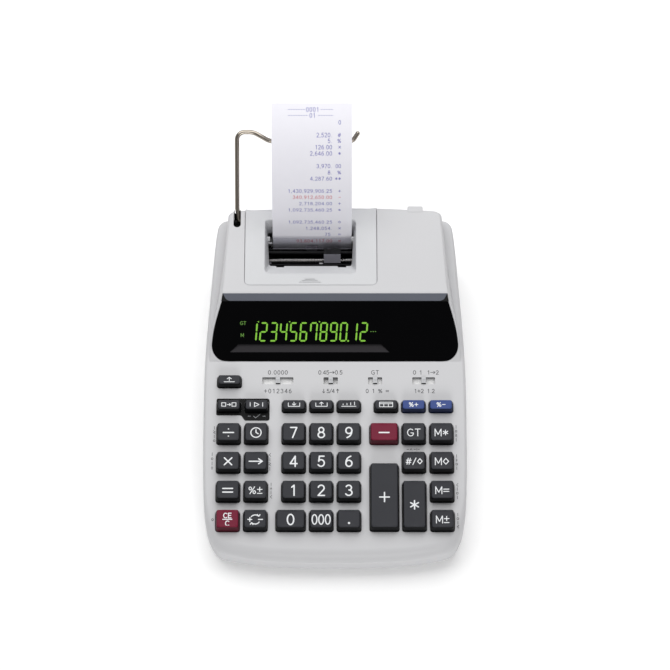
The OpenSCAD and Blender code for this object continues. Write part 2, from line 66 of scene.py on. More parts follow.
T7, C7, S7 = tan(radians(7)), cos(radians(7)), sin(radians(7))
C33, S33 = cos(radians(33)), sin(radians(33))
PAPER_X = -16.3


def deck_z(y): return 22 + (y - 6) * T7
def ptop(y): return 66.8 + (y - 185.8) * 0.047
def rail_z(y): return deck_z(y) if y < 146 else deck_z(146) + (y - 146) * tan(radians(8.8))
def on_deck(kx, ky, lx, ly, n): return (kx + lx, ky + ly * C7 - n * S7, deck_z(ky) + ly * S7 + n * C7)
def on_slope(lx, ly, n): return (lx, 146 + ly * C33 - n * S33, 39.1 + ly * S33 + n * C33)


# ---------------------------------------------------------------- materials
def shade(name, colour, rough=0.5, metal=0.0, grain=0.0, grain_mm=0.5, vary=0.03, vary_mm=25.0, rough_vary=0.05,
          coat=0.0, coat_rough=0.05, spec=0.5, glow=0.0, trans=0.0, ior=1.5, sheen=0.0, alpha=1.0, dist_mm=0.05):
    m = bpy.data.materials.new(name)
    m.use_nodes = True
    nt = m.node_tree; N = nt.nodes; L = nt.links
    b = N["Principled BSDF"]
    b.inputs["Metallic"].default_value = metal
    b.inputs["Specular IOR Level"].default_value = spec
    b.inputs["Coat Weight"].default_value = coat
    b.inputs["Coat Roughness"].default_value = coat_rough
    b.inputs["Transmission Weight"].default_value = trans
    b.inputs["IOR"].default_value = ior
    b.inputs["Sheen Weight"].default_value = sheen
    b.inputs["Alpha"].default_value = alpha
    tc = N.new("ShaderNodeTexCoord")
    big = N.new("ShaderNodeTexNoise"); big.inputs["Scale"].default_value = 1000.0 / vary_mm; big.inputs["Detail"].default_value = 3
    L.new(tc.outputs["Object"], big.inputs["Vector"])
    ramp = N.new("ShaderNodeMix"); ramp.data_type = "RGBA"
    lo = [max(0.0, c * (1 - vary)) for c in colour]; hi = [min(1.0, c * (1 + vary)) for c in colour]
    ramp.inputs[6].default_value = (*lo, 1); ramp.inputs[7].default_value = (*hi, 1)
    L.new(big.outputs["Fac"], ramp.inputs[0])
    L.new(ramp.outputs[2], b.inputs["Base Color"])
    fine = N.new("ShaderNodeTexNoise"); fine.inputs["Scale"].default_value = 1000.0 / grain_mm; fine.inputs["Detail"].default_value = 4
    L.new(tc.outputs["Object"], fine.inputs["Vector"])
    mr = N.new("ShaderNodeMapRange")
    mr.inputs["To Min"].default_value = max(0.01, rough - rough_vary); mr.inputs["To Max"].default_value = min(1.0, rough + rough_vary)
    L.new(fine.outputs["Fac"], mr.inputs["Value"])
    L.new(mr.outputs["Result"], b.inputs["Roughness"])
    if grain:
        bump = N.new("ShaderNodeBump"); bump.inputs["Strength"].default_value = grain; bump.inputs["Distance"].default_value = dist_mm * MM
        L.new(fine.outputs["Fac"], bump.inputs["Height"]); L.new(bump.outputs["Normal"], b.inputs["Normal"])
    if glow:
        b.inputs["Emission Color"].default_value = (*colour, 1)
        b.inputs["Emission Strength"].default_value = glow
    return m


def lin(h):
    h = h.lstrip("#"); c = [int(h[i:i + 2], 16) / 255 for i in (0, 2, 4)]
    return [(v / 12.92 if v <= 0.04045 else ((v + 0.055) / 1.055) ** 2.4) for v in c]


M_CASE = shade("case_plastic", lin("#c6c6c8"), 0.42, spec=0.35, grain=0.25, grain_mm=0.35, vary=0.02, vary_mm=60)
# darker copy of the case plastic for inside faces and cut walls: painted shade
M_INNER_SHADE = shade("case_inside_shade", lin("#8f9092"), 0.6, grain=0.2, grain_mm=0.5)
# a touch lighter than the upper case: painted light that brightens the lower shell's front wall
M_LOWER_LIT = shade("lower_plastic_lit", lin("#c9c9cb"), 0.5, grain=0.4, grain_mm=0.35, vary=0.03, vary_mm=50)
# a touch lighter than the case plastic: painted light on the printer cover
M_COVER_LIT = shade("cover_plastic_lit", lin("#cbccce"), 0.42, spec=0.35, grain=0.25, grain_mm=0.35, vary=0.02, vary_mm=60)
M_BROW = shade("brow_plastic", lin("#5b5f6a"), 0.35, grain=0.15, grain_mm=0.3, vary=0.04, spec=0.15)
M_GLOSS = shade("black_acrylic", (0.0012, 0.0012, 0.0015), 0.09, rough_vary=0.02, grain_mm=2, vary=0.2, spec=0.06)
# lighter satin grey on a facet of the black panel: painted sheen
M_LEDGE_SHEEN = shade("ledge_painted_sheen", lin("#2c2a2d"), 0.45, spec=0.15, grain=0.2, grain_mm=0.3, vary=0.06, vary_mm=12)
M_DIGIT = shade("lit_segments", lin("#5a8a2c"), 0.5, glow=0.5, vary=0.08, vary_mm=3, rough_vary=0.02, spec=0.1)
M_DIGIT.node_tree.nodes["Principled BSDF"].inputs["Emission Color"].default_value = (*lin("#8fd14c"), 1)
M_DIM = shade("dim_segments", lin("#4f7a2c"), 0.5, glow=0.3, vary=0.1, vary_mm=3, rough_vary=0.02)
M_KEY = shade("key_charcoal_abs", lin("#2e2f34"), 0.46, spec=0.2, grain=0.3, grain_mm=0.3, vary=0.05, vary_mm=14)
# darker copies of the key colours for the key walls: painted shade on the sides below each top
M_KEY_SHADE = shade("key_charcoal_shaded_side", lin("#0b0c0e"), 0.5, spec=0.12, grain=0.3, grain_mm=0.3, vary=0.05, vary_mm=14)
M_RED = shade("key_red_abs", lin("#6f0b2c"), 0.44, spec=0.2, grain=0.3, grain_mm=0.3, vary=0.05, vary_mm=14)
M_RED_SHADE = shade("key_red_shaded_side", lin("#480a1b"), 0.48, spec=0.2, grain=0.3, grain_mm=0.3, vary=0.05, vary_mm=14)
M_BLUE = shade("key_blue_abs", lin("#394c86"), 0.44, spec=0.2, grain=0.3, grain_mm=0.3, vary=0.05, vary_mm=14)
M_BLUE_SHADE = shade("key_blue_shaded_side", lin("#17213f"), 0.48, spec=0.2, grain=0.3, grain_mm=0.3, vary=0.05, vary_mm=14)
M_LEGEND = shade("legend_white", lin("#e6e8ea"), 0.5, spec=0.3, vary=0.03, vary_mm=4)
M_INK = shade("deck_print", lin("#303135"), 0.6, vary=0.08, vary_mm=3)
M_KNOB = shade("knob_grey", lin("#bdbec1"), 0.4, grain=0.2, grain_mm=0.3, vary=0.04, vary_mm=5)
M_PAPER = shade("paper_stock", lin("#f2f1f8"), 0.85, grain=0.35, grain_mm=0.25, vary=0.015, vary_mm=8, spec=0.2, dist_mm=0.03)
M_EDGE = shade("paper_edge", lin("#dedde2"), 0.9, grain=0.9, grain_mm=0.12, vary=0.05, vary_mm=1.2, spec=0.15)
M_CARD = shade("core_card", lin("#b49a78"), 0.9, grain=0.7, grain_mm=0.4, vary=0.1, vary_mm=3, spec=0.15)
M_BLUEINK = shade("ribbon_blue", lin("#6a66b4"), 0.8, vary=0.22, vary_mm=0.7, spec=0.2)
M_REDINK = shade("ribbon_red", lin("#d06070"), 0.8, vary=0.22, vary_mm=0.7, spec=0.2)
M_CHROME = shade("chrome", lin("#a39b90"), 0.14, metal=1.0, rough_vary=0.05, grain=0.05, grain_mm=1.5, vary=0.03, vary_mm=15)
M_STEEL = shade("steel", (0.62, 0.62, 0.64), 0.28, metal=1.0, rough_vary=0.08, grain=0.1, grain_mm=0.4, vary=0.06, vary_mm=4)
# darker copy of the steel for the drive screw: painted shade deep in the printer bay
M_SCREW_SHADED = shade("screw_steel_shaded", (0.34, 0.33, 0.33), 0.2, metal=1.0, rough_vary=0.06, grain=0.1, grain_mm=0.4, vary=0.06, vary_mm=4)
M_MOTOR = shade("motor_steel_skin", (0.5, 0.5, 0.52), 0.36, metal=1.0, rough_vary=0.1, grain=0.1, grain_mm=0.4, vary=0.06, vary_mm=6)
# dark moulding; the same material is painted shade on the knobs' front faces and in the screw slots
M_DARK_AND_SHADE = shade("dark_moulding_and_shade", lin("#151517"), 0.5, spec=0.15, grain=0.3, grain_mm=0.35, vary=0.08, vary_mm=8)
# grey moulding; on the carriage it is painted light on the upward faces
M_GREY_AND_LIT = shade("grey_moulding_and_lit_top", lin("#6f6e76"), 0.5, grain=0.3, grain_mm=0.35, vary=0.08, vary_mm=6)
M_PALE = shade("pale_moulding", lin("#a9a9ad"), 0.5, grain=0.3, grain_mm=0.35, vary=0.06, vary_mm=5)
M_RUBBER = shade("rubber", lin("#1d1d1e"), 0.75, grain=0.6, grain_mm=0.25, vary=0.12, vary_mm=3, spec=0.3)
M_SPONGE = shade("ink_felt", lin("#1c1d3c"), 0.9, grain=0.9, grain_mm=0.3, vary=0.2, vary_mm=1, sheen=0.2, spec=0.2)
M_BOARD = shade("board_mask", lin("#1f5c38"), 0.35, grain=0.2, grain_mm=0.6, vary=0.12, vary_mm=6, coat=0.3)
M_DOME = shade("silicone", lin("#bdbcb4"), 0.55, grain=0.3, grain_mm=0.3, vary=0.05, vary_mm=8)
M_TUBE = shade("tube_glass_skin", lin("#2c3a36"), 0.15, vary=0.1, vary_mm=10, coat=0.6)
M_BLACKSATIN = shade("bezel_black", lin("#050506"), 0.45, grain=0.15, grain_mm=0.4, vary=0.08, vary_mm=6, spec=0.12)
M_TICK = shade("bezel_print", lin("#9a9ca0"), 0.5, vary=0.05, vary_mm=3)
# darker grey for the switch slot walls: painted shade inside the slots
M_SLOT_SHADE = shade("slot_wall_shade", lin("#6c6c6f"), 0.6, grain=0.2, grain_mm=0.4)
M_PLATE = shade("switch_plate", lin("#f0f0f0"), 0.5, grain=0.15, grain_mm=0.4)
# near-black for the sheet behind the arm's slot: painted shade
M_PAINTED_VOID = shade("deep_black_painted_shade", lin("#0c0c0d"), 0.7, vary=0.1, vary_mm=5, grain=0.2, grain_mm=0.4)


def smoke(name, tint, rough):
    """Thin smoked plastic: mostly see-through, with a gloss from its own surface."""
    m = bpy.data.materials.new(name); m.use_nodes = True
    nt = m.node_tree; N = nt.nodes; L = nt.links
    out = N["Material Output"]; N.remove(N["Principled BSDF"])
    tr = N.new("ShaderNodeBsdfTransparent"); gl = N.new("ShaderNodeBsdfGlossy"); mix = N.new("ShaderNodeMixShader")
    gl.inputs["Roughness"].default_value = rough
    fr = N.new("ShaderNodeFresnel"); fr.inputs["IOR"].default_value = 1.45
    tc = N.new("ShaderNodeTexCoord"); no = N.new("ShaderNodeTexNoise"); no.inputs["Scale"].default_value = 300
    mx = N.new("ShaderNodeMix"); mx.data_type = "RGBA"
    mx.inputs[6].default_value = (*[c * 0.94 for c in tint], 1); mx.inputs[7].default_value = (*tint, 1)
    L.new(tc.outputs["Object"], no.inputs["Vector"]); L.new(no.outputs["Fac"], mx.inputs[0]); L.new(mx.outputs[2], tr.inputs["Color"])
    L.new(fr.outputs[0], mix.inputs[0]); L.new(tr.outputs[0], mix.inputs[1]); L.new(gl.outputs[0], mix.inputs[2])
    L.new(mix.outputs[0], out.inputs["Surface"])
    return m


M_SMOKE = smoke("smoked_acrylic", (0.93, 0.93, 0.95), 0.08)


# ---------------------------------------------------------------- shape kit (mm)
class Geo:
    def __init__(s): s.v = []; s.f = []; s.m = []

    def add(s, verts, faces, mat=0):
        o = len(s.v); s.v += [tuple(p) for p in verts]
        for f in faces: s.f.append([o + i for i in f]); s.m.append(mat)
        return s

    def loft(s, rings, mat=0, cap0=True, cap1=True, wrap=False):
        n = len(rings[0]); k = len(rings); faces = []
        for i in range(k if wrap else k - 1):
            for j in range(n):
                a = i * n + j; b = i * n + (j + 1) % n
                c = ((i + 1) % k) * n + (j + 1) % n; d = ((i + 1) % k) * n + j
                faces.append([a, b, c, d])
        if not wrap:
            if cap0: faces.append(list(range(n - 1, -1, -1)))
            if cap1: faces.append([(k - 1) * n + j for j in range(n)])
        return s.add([p for r in rings for p in r], faces, mat)

    def box(s, x, y, z, mat=0, f=None):
        f = f or (lambda *p: p)
        return s.loft([[f(x[0], y[0], zz), f(x[1], y[0], zz), f(x[1], y[1], zz), f(x[0], y[1], zz)] for zz in z], mat)

    def prism_x(s, x0, x1, pts, mat=0):
        return s.loft([[(x, y, z) for y, z in pts] for x in (x0, x1)], mat)

    def lathe_x(s, prof, yc, zc, mat=0, n=40):
        """prof: (x, r) pairs from one end to the other, closed with caps."""
        return s.loft([[(x, yc + r * cos(2 * pi * j / n), zc + r * sin(2 * pi * j / n)) for j in range(n)] for x, r in prof], mat)

    def lathe(s, prof, place, mat=0, n=32):
        """prof: (r, h) pairs; place(a, b, h) puts a point."""
        return s.loft([[place(r * cos(2 * pi * j / n), r * sin(2 * pi * j / n), h) for j in range(n)] for r, h in prof], mat)


def unit_mesh(geo, name, mats):
    me = bpy.data.meshes.new(name)
    me.from_pydata(geo.v, [], geo.f)
    for m in mats: me.materials.append(m)
    me.polygons.foreach_set("material_index", geo.m)
    bm = bmesh.new(); bm.from_mesh(me); bmesh.ops.recalc_face_normals(bm, faces=bm.faces); bm.to_mesh(me); bm.free()
    ob = bpy.data.objects.new(name, me)
    scene.collection.objects.link(ob)
    return ob


def boolean(a, b, op="DIFFERENCE", self_cross=False):
    m = a.modifiers.new("b", "BOOLEAN"); m.object = b; m.operation = op; m.solver = "EXACT"; m.use_self = self_cross
    bpy.context.view_layer.update()
    me = bpy.data.meshes.new_from_object(a.evaluated_get(bpy.context.evaluated_depsgraph_get()))
    a.modifiers.clear(); old = a.data; a.data = me; bpy.data.meshes.remove(old)
    bm_ = b.data; bpy.data.objects.remove(b); bpy.data.meshes.remove(bm_)
    return a


def cutter(geo, name="cutter", mats=()): return unit_mesh(geo, name, list(mats))


LEVELS = [(0, -S7, C7), (0, -S33, C33), (0, -sin(radians(8.8)), cos(radians(8.8))), (0, -sin(atan2(0.047, 1)), cos(atan2(0.047, 1))), (0, 0, 1), (0, 0, -1)]


def level_faces(me):
    """Plane faces are shaded flat; only the roundings beside them turn."""
    planes = [Vector(q) for q in LEVELS]
    for f in me.polygons:
        if max(q.dot(f.normal) for q in planes) > 0.9996: f.use_smooth = False


def clean_plane_faces(me):
    """Weld what the cuts left doubled, and split the large plane faces into sound triangles."""
    bm = bmesh.new(); bm.from_mesh(me)
    bmesh.ops.remove_doubles(bm, verts=bm.verts, dist=0.002)
    bmesh.ops.dissolve_degenerate(bm, edges=bm.edges, dist=0.001)
    big = [f for f in bm.faces if len(f.verts) > 4]
    bmesh.ops.triangulate(bm, faces=big, quad_method="BEAUTY", ngon_method="BEAUTY")
    bmesh.ops.recalc_face_normals(bm, faces=bm.faces)
    bm.to_mesh(me); bm.free()


def finish_piece(ob, body, slot, nodes=(), angle=32, weight=True, bevel=0.0, blend=None, level=False):
    me = ob.data
    if level: clean_plane_faces(me)
    me.transform(TO_M)
    me.polygons.foreach_set("use_smooth", [True] * len(me.polygons))
    if level: level_faces(me); weight = False
    if bevel:
        b = ob.modifiers.new("edge", "BEVEL"); b.width = bevel * MM; b.segments = 2; b.limit_method = "ANGLE"; b.angle_limit = radians(40)
        b.harden_normals = False
    me.set_sharp_from_angle(angle=radians(angle))
    if weight:
        w = ob.modifiers.new("normals", "WEIGHTED_NORMAL"); w.keep_sharp = True; w.weight = 100
    me.update()
    if blend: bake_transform(ob)
    else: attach(ob, body)
    if nodes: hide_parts(*nodes)
    return ob


def piece(geo, name, body, slot, mats, nodes=(), **kw):
    return finish_piece(unit_mesh(geo, name, mats), body, slot, nodes, **kw)


def smooth_closed(pts, step):
    """Centripetal curve through a closed list of 2D points, resampled to about step mm."""
    n = len(pts); out = []
    P = [Vector(p) for p in pts]
    for i in range(n):
        p0, p1, p2, p3 = (P[(i + k - 1) % n] for k in range(4))
        t1 = (p1 - p0).length ** 0.5; t2 = t1 + (p2 - p1).length ** 0.5; t3 = t2 + (p3 - p2).length ** 0.5
        k = max(1, round((p2 - p1).length / step))
        for j in range(k):
            t = t1 + (t2 - t1) * j / k
            a1 = p0 * ((t1 - t) / t1) + p1 * (t / t1)
            a2 = p1 * ((t2 - t) / (t2 - t1)) + p2 * ((t - t1) / (t2 - t1))
            a3 = p2 * ((t3 - t) / (t3 - t2)) + p3 * ((t - t2) / (t3 - t2))
            b1 = a1 * ((t2 - t) / t2) + a2 * (t / t2)
            b2 = a2 * ((t3 - t) / (t3 - t1)) + a3 * ((t - t1) / (t3 - t1))
            out.append(b1 * ((t2 - t) / (t2 - t1)) + b2 * ((t - t1) / (t2 - t1)))
    return out


def smooth_open(pts, step):
    P = [Vector(p) for p in pts]; P = [P[0] * 2 - P[1]] + P + [P[-1] * 2 - P[-2]]; out = []
    for i in range(1, len(P) - 2):
        p0, p1, p2, p3 = P[i - 1:i + 3]
        t1 = (p1 - p0).length ** 0.5; t2 = t1 + (p2 - p1).length ** 0.5; t3 = t2 + (p3 - p2).length ** 0.5
        k = max(1, round((p2 - p1).length / step))
        for j in range(k):
            t = t1 + (t2 - t1) * j / k
            a1 = p0 * ((t1 - t) / t1) + p1 * (t / t1)
            a2 = p1 * ((t2 - t) / (t2 - t1)) + p2 * ((t - t1) / (t2 - t1))
            a3 = p2 * ((t3 - t) / (t3 - t2)) + p3 * ((t - t2) / (t3 - t2))
            b1 = a1 * ((t2 - t) / t2) + a2 * (t / t2)
            b2 = a2 * ((t3 - t) / (t3 - t1)) + a3 * ((t - t1) / (t3 - t1))
            out.append(b1 * ((t2 - t) / (t2 - t1)) + b2 * ((t - t1) / (t2 - t1)))
    return out + [P[-2]]


def inward(o):
    n = len(o); r = []
    for i in range(n):
        t = (o[(i + 1) % n] - o[(i - 1) % n]).normalized(); r.append(Vector((-t.y, t.x)))
    return r


def round_poly(pts, radii, step=0.8):
    """Closed 2D polygon with each corner rounded to its own radius."""
    n = len(pts); out = []
    for i in range(n):
        p = Vector(pts[i]); a = Vector(pts[i - 1]) - p; b = Vector(pts[(i + 1) % n]) - p
        r = radii[i] if hasattr(radii, "__len__") else radii
        if r <= 0.01: out.append(p); continue
        half = a.angle(b) / 2; l = min(r / tan(half), a.length * 0.49, b.length * 0.49); r = l * tan(half)
        a.normalize(); b.normalize(); m = (a + b).normalized(); c = p + m * r / sin(half)
        s = p + a * l - c; e = p + b * l - c
        k = max(3, round(r * (pi - 2 * half) / step))
        a0 = atan2(s.y, s.x); d = (atan2(e.y, e.x) - a0 + pi) % (2 * pi) - pi
        out += [c + Vector((cos(a0 + d * j / k), sin(a0 + d * j / k))) * r for j in range(k + 1)]
    return out


def slab(outline, place, n0, n1, soft=0.0, steps=3, foot=0.0):
    """Rings of a plate whose top edge is rounded by soft; place(x, y, n)."""
    nr = inward(outline); rings = []
    def at(d, n): rings.append([place(p.x + q.x * d, p.y + q.y * d, n) for p, q in zip(outline, nr)])
    at(foot, n0)
    if foot: at(0, n0 + foot)
    if soft:
        for k in range(steps + 1):
            t = k / steps * pi / 2; at(soft * (1 - cos(t)), n1 - soft * (1 - sin(t)))
    else: at(0, n1)
    return rings


# ---------------------------------------------------------------- strokes and figures
def arc(cx, cy, rx, ry, a0, a1, n=12):
    return [(cx + rx * cos(radians(a0 + (a1 - a0) * i / n)), cy + ry * sin(radians(a0 + (a1 - a0) * i / n))) for i in range(n + 1)]


def glyph(c):
    """(width, strokes) in a box one unit high."""
    six = (0.6, [arc(.3, .30, .28, .30, 0, 360, 18), [(.025, .33), (.05, .55), (.16, .80), (.34, .94), (.47, 1.0)]])
    G = {
        "0": (0.6, [arc(.3, .5, .29, .5, 0, 360, 22)]),
        "o": (0.42, [arc(.21, .5, .19, .5, 0, 360, 18)]),
        "1": (0.6, [[(.14, .80), (.36, 1), (.36, 0)]]),
        "2": (0.6, [arc(.3, .72, .27, .28, 165, -30, 10) + [(.02, 0), (.6, 0)]]),
        "3": (0.6, [arc(.28, .755, .25, .245, 155, -80, 10), arc(.28, .27, .30, .27, 85, -155, 12)]),
        "4": (0.64, [[(.47, 0), (.47, 1), (.01, .27), (.64, .27)]]),
        "5": (0.6, [[(.55, 1), (.13, 1), (.07, .50)] + arc(.28, .33, .30, .33, 125, -150, 12)]),
        "6": six,
        "7": (0.6, [[(.02, 1), (.58, 1), (.20, 0)]]),
        "8": (0.6, [arc(.3, .76, .23, .24, 0, 360, 16), arc(.3, .265, .29, .265, 0, 360, 18)]),
        "9": (0.6, [[(.6 - x, 1 - y) for x, y in s] for s in six[1]]),
        "M": (0.82, [[(0, 0), (0, 1), (.41, .22), (.82, 1), (.82, 0)]]),
        "G": (0.8, [arc(.42, .5, .42, .5, 48, 322, 14) + [(.78, .44), (.46, .44)]]),
        "T": (0.66, [[(0, 1), (.66, 1)], [(.33, 1), (.33, 0)]]),
        "C": (0.72, [arc(.40, .5, .40, .5, 48, 312, 14)]),
        "E": (0.54, [[(.54, 1), (0, 1), (0, 0), (.54, 0)], [(0, .52), (.46, .52)]]),
        "+": (0.7, [[(0, .5), (.7, .5)], [(.35, .15), (.35, .85)]]),
        "-": (0.6, [[(0, .5), (.6, .5)]]),
        "=": (0.7, [[(0, .34), (.7, .34)], [(0, .66), (.7, .66)]]),
        "x": (0.62, [[(0, .2), (.62, .82)], [(0, .82), (.62, .2)]]),
        "/": (0.5, [[(0, -.05), (.5, 1.05)]]),
        "*": (0.7, [[(.35 - .35 * cos(radians(a)), .5 - .35 * sin(radians(a))), (.35 + .35 * cos(radians(a)), .5 + .35 * sin(radians(a)))] for a in (90, 30, 150)]),
        "d": (0.72, [[(.36, .08), (.72, .5), (.36, .92), (0, .5), (.36, .08)]]),
        "#": (0.8, [[(.14, 0), (.34, 1)], [(.46, 0), (.66, 1)], [(0, .32), (.72, .32)], [(.08, .68), (.8, .68)]]),
        "%": (0.9, [arc(.18, .76, .17, .21, 0, 360, 12), arc(.72, .24, .17, .21, 0, 360, 12), [(.14, 0), (.76, 1)]]),
        "p": (0.62, [[(0, .62), (.62, .62)], [(.31, .34), (.31, .94)], [(0, .06), (.62, .06)]]),
        ".": (0.2, [[(.1, .03), (.1, .031)]]),
        ",": (0.2, [[(.12, .06), (.05, -.12)]]),
        "'": (0.2, [[(.12, 1.0), (.05, .84)]]),
        ">": (1.2, [[(0, .5), (1.15, .5)], [(.78, .18), (1.15, .5), (.78, .82)]]),
        "^": (0.6, [[(.3, 0), (.3, 1)], [(.02, .66), (.3, 1), (.58, .66)]]),
        "v": (0.6, [[(.3, 1), (.3, 0)], [(.02, .34), (.3, 0), (.58, .34)]]),
        " ": (0.5, []),
    }
    return G[c]


def lay_text(text, cx, cy, h, gap=0.22, align="c", wide=1.0):
    """Strokes of a line of figures, in mm."""
    ws = [glyph(c)[0] * h * wide for c in text]; g = gap * h
    total = sum(ws) + g * (len(ws) - 1)
    x = cx - total / 2 if align == "c" else cx - total
    out = []
    for c, w in zip(text, ws):
        for s in glyph(c)[1]: out.append([(x + px * h * wide, cy - h / 2 + py * h) for px, py in s])
        x += w + g
    return out


def within(p, x, y):
    inside = False; ax, ay = p[-1]
    for bx, by in p:
        if (ay > y) != (by > y) and x < (bx - ax) * (y - ay) / (by - ay) + ax: inside = not inside
        ax, ay = bx, by
    return inside


def merge_shapes(polys):
    """Union of overlapping 2D polygons as triangles: (points, triangles)."""
    vs = []; fs = []
    for p in polys:
        o = len(vs); vs += [Vector(q) for q in p]; fs.append(list(range(o, o + len(p))))
    r = delaunay_2d_cdt(vs, [], fs, 0, 1e-5)
    pts = [tuple(v) for v in r[0]]; keep = []
    boxes = [(min(q[0] for q in p), max(q[0] for q in p), min(q[1] for q in p), max(q[1] for q in p), p) for p in polys]
    for f in r[2]:
        cx = sum(pts[i][0] for i in f) / len(f); cy = sum(pts[i][1] for i in f) / len(f)
        for a, b, c, d, p in boxes:
            if a <= cx <= b and c <= cy <= d and within(p, cx, cy): keep.append(list(f)); break
    return pts, keep


def stroke_polys(strokes, w):
    polys = []; r = w / 2
    for s in strokes:
        for (ax, ay), (bx, by) in zip(s, s[1:]):
            dx, dy = bx - ax, by - ay; l = hypot(dx, dy)
            if l > 0.02:
                nx, ny = -dy / l * r, dx / l * r
                polys.append([(ax - nx, ay - ny), (bx - nx, by - ny), (bx + nx, by + ny), (ax + nx, ay + ny)])
        for i, (ax, ay) in enumerate(s):
            m = 10 if i in (0, len(s) - 1) else 8
            polys.append([(ax + r * cos(2 * pi * j / m + 0.31 * i), ay + r * sin(2 * pi * j / m + 0.31 * i)) for j in range(m)])
    return polys


def add_flat(geo, polys, place, n0, n1, mat=0):
    """A thin closed plate over the union of polys; place(x, y, n)."""
    if not polys: return
    if len(polys) > 24:        # one letter at a time
        rows = sorted(polys, key=lambda p: min(q[0] for q in p)); group = []; edge = -1e9; groups = []
        for p in rows:
            if group and min(q[0] for q in p) > edge + 0.01: groups.append(group); group = []
            group.append(p); edge = max(edge, max(q[0] for q in p))
        groups.append(group)
        if len(groups) > 1:
            for k in groups: add_small(geo, k, place, n0, n1, mat)
            return
    add_small(geo, polys, place, n0, n1, mat)


def add_small(geo, polys, place, n0, n1, mat):
    pts, tris = merge_shapes(polys)
    used = sorted({i for t in tris for i in t}); ix = {u: k for k, u in enumerate(used)}
    pts = [pts[u] for u in used]; tris = [[ix[i] for i in t] for t in tris]
    k = len(pts); edges = {}
    for t in tris:
        for a, b in zip(t, t[1:] + t[:1]): edges[(a, b)] = edges.get((a, b), 0) + 1
    faces = [list(t) for t in tris] + [[i + k for i in reversed(t)] for t in tris]
    for (a, b) in edges:
        if (b, a) not in edges: faces.append([b, a, a + k, b + k])
    geo.add([place(x, y, n1) for x, y in pts] + [place(x, y, n0) for x, y in pts], faces, mat)


# ---------------------------------------------------------------- case outline
HALF = [(0, 0.0), (22, 0.2), (44.4, 1.1), (58, 2.6), (69.2, 4.7), (76, 6.3), (80.5, 8.3), (84.2, 12), (87, 17.5), (89.1, 23.5), (90.9, 34),
        (92.1, 60), (92.5, 90), (92.0, 146), (88.5, 200), (84.6, 244), (83.2, 249.8), (79.6, 253.1), (71, 253.7), (52, 254.6), (30, 255.6), (0, 255.9)]
PLAN = smooth_closed(HALF + [(-x, y) for x, y in reversed(HALF[1:-1])], 2.6)
HUMP = [(146, 88.9, 37, 88.8, 39.2), (155, 88.8, 37.5, 88.3, 44.95), (164, 88.5, 38, 87.1, 50.8), (173.6, 87.6, 39, 84.7, 57.03),
        (182.2, 86.6, 40, 81.3, 62.6), (185.8, 86, 40.5, 80, 66.8), (216, 81, 44, 78.5, 68.2), (250, 77.6, 48, 76.1, 69.8), (262, 76.0, 49, 75.0, 70.36)]


def hump_at(y):
    for a, b in zip(HUMP, HUMP[1:]):
        if y <= b[0]:
            t = (y - a[0]) / (b[0] - a[0]); return [p + (q - p) * t for p, q in zip(a, b)][1:]
    return list(HUMP[-1][1:])


def soft_step(y, a, b): t = min(1, max(0, (y - a) / (b - a))); return t * t * (3 - 2 * t)


def perimeter(outline, z0, top, rad, inset=0.0, steps=6, lip=0.0):
    nr = inward(outline); rings = []
    def ring(d, z):
        pts = []
        for p, q in zip(outline, nr):
            dd = d(p); x, y = p.x + q.x * dd, p.y + q.y * dd; pts.append((x, y, z(p, x, y)))
        rings.append(pts)
    ring(lambda p: inset + lip, lambda p, x, y: z0)
    if lip: ring(lambda p: inset, lambda p, x, y: z0 + lip)
    for k in range(steps + 1):
        t = (1 - (1 - k / steps) ** 1.5) * pi / 2
        ring(lambda p: inset + rad(p) * (1 - cos(t)), lambda p, x, y: top(y) - rad(p) * (1 - sin(t)))
    return rings


def folded(rings, fold, mat=0):
    """A closed solid over the rings whose top is two planes that meet at y = fold."""
    geo = Geo().loft(rings, mat, True, False); last = rings[-1]; n = len(last); o = len(geo.v) - n
    right = min((i for i, p in enumerate(last) if p[0] > 20), key=lambda i: abs(last[i][1] - fold))
    left = min((i for i, p in enumerate(last) if p[0] < -20), key=lambda i: abs(last[i][1] - fold))
    for f in (list(range(left, n)) + list(range(0, right + 1)), list(range(right, left + 1))): geo.f.append([o + i for i in f]); geo.m.append(mat)
    return geo


def section(y, d=0.0, rc=2.0, side_drop=0.0):
    """Cross-section of the hump at y, less d, with its top corners rounded by rc."""
    w0, z0, w1, z1 = hump_at(y)
    w0 -= d; w1 -= d; z1 -= d * 1.08; z0 -= (6 if d else 0) + side_drop
    side = Vector((w0 - w1, z0 - z1)).normalized()
    c = Vector((w1, z1)); top = Vector((-1, 0)); half = side.angle(top) / 2; l = rc / tan(half)
    m = (side + top).normalized(); cc = c + m * rc / sin(half)
    s = c + side * l - cc; e = c + top * l - cc
    pts = [Vector((w0, z0)), Vector((w0, z0)).lerp(c + side * l, 0.5)]
    a0 = atan2(s.y, s.x); dd = (atan2(e.y, e.x) - a0 + pi) % (2 * pi) - pi
    pts += [cc + Vector((cos(a0 + dd * j / 5), sin(a0 + dd * j / 5))) * rc for j in range(6)]
    pts += [Vector((w1 * 0.5, z1))]
    full = [(p.x, y, p.y) for p in pts] + [(0, y, z1)] + [(-p.x, y, p.y) for p in reversed(pts)]
    return full


# ---- upper case
g = folded(perimeter(PLAN, 14.0, rail_z, lambda p: 7.0 - 4.4 * soft_step(p.y, 12, 50) - 0.8 * soft_step(p.y, 200, 240), lip=0.35, steps=8), 146)
upper = unit_mesh(g, "upper_shell", [M_CASE, M_INNER_SHADE, M_BROW])

ys = [146, 149, 152, 155, 159.5, 164, 169, 173.6, 178, 181.9, 182.2, 182.5, 184.9, 185.3, 185.8, 186.5, 188, 194, 205, 216, 233, 250, 259]
rcs = [0.5 if y < 183 else 0.5 + 1.7 * soft_step(y, 184, 194) for y in ys]
rings = [section(y, 0, rc, 0) for y, rc in zip(ys, rcs)]
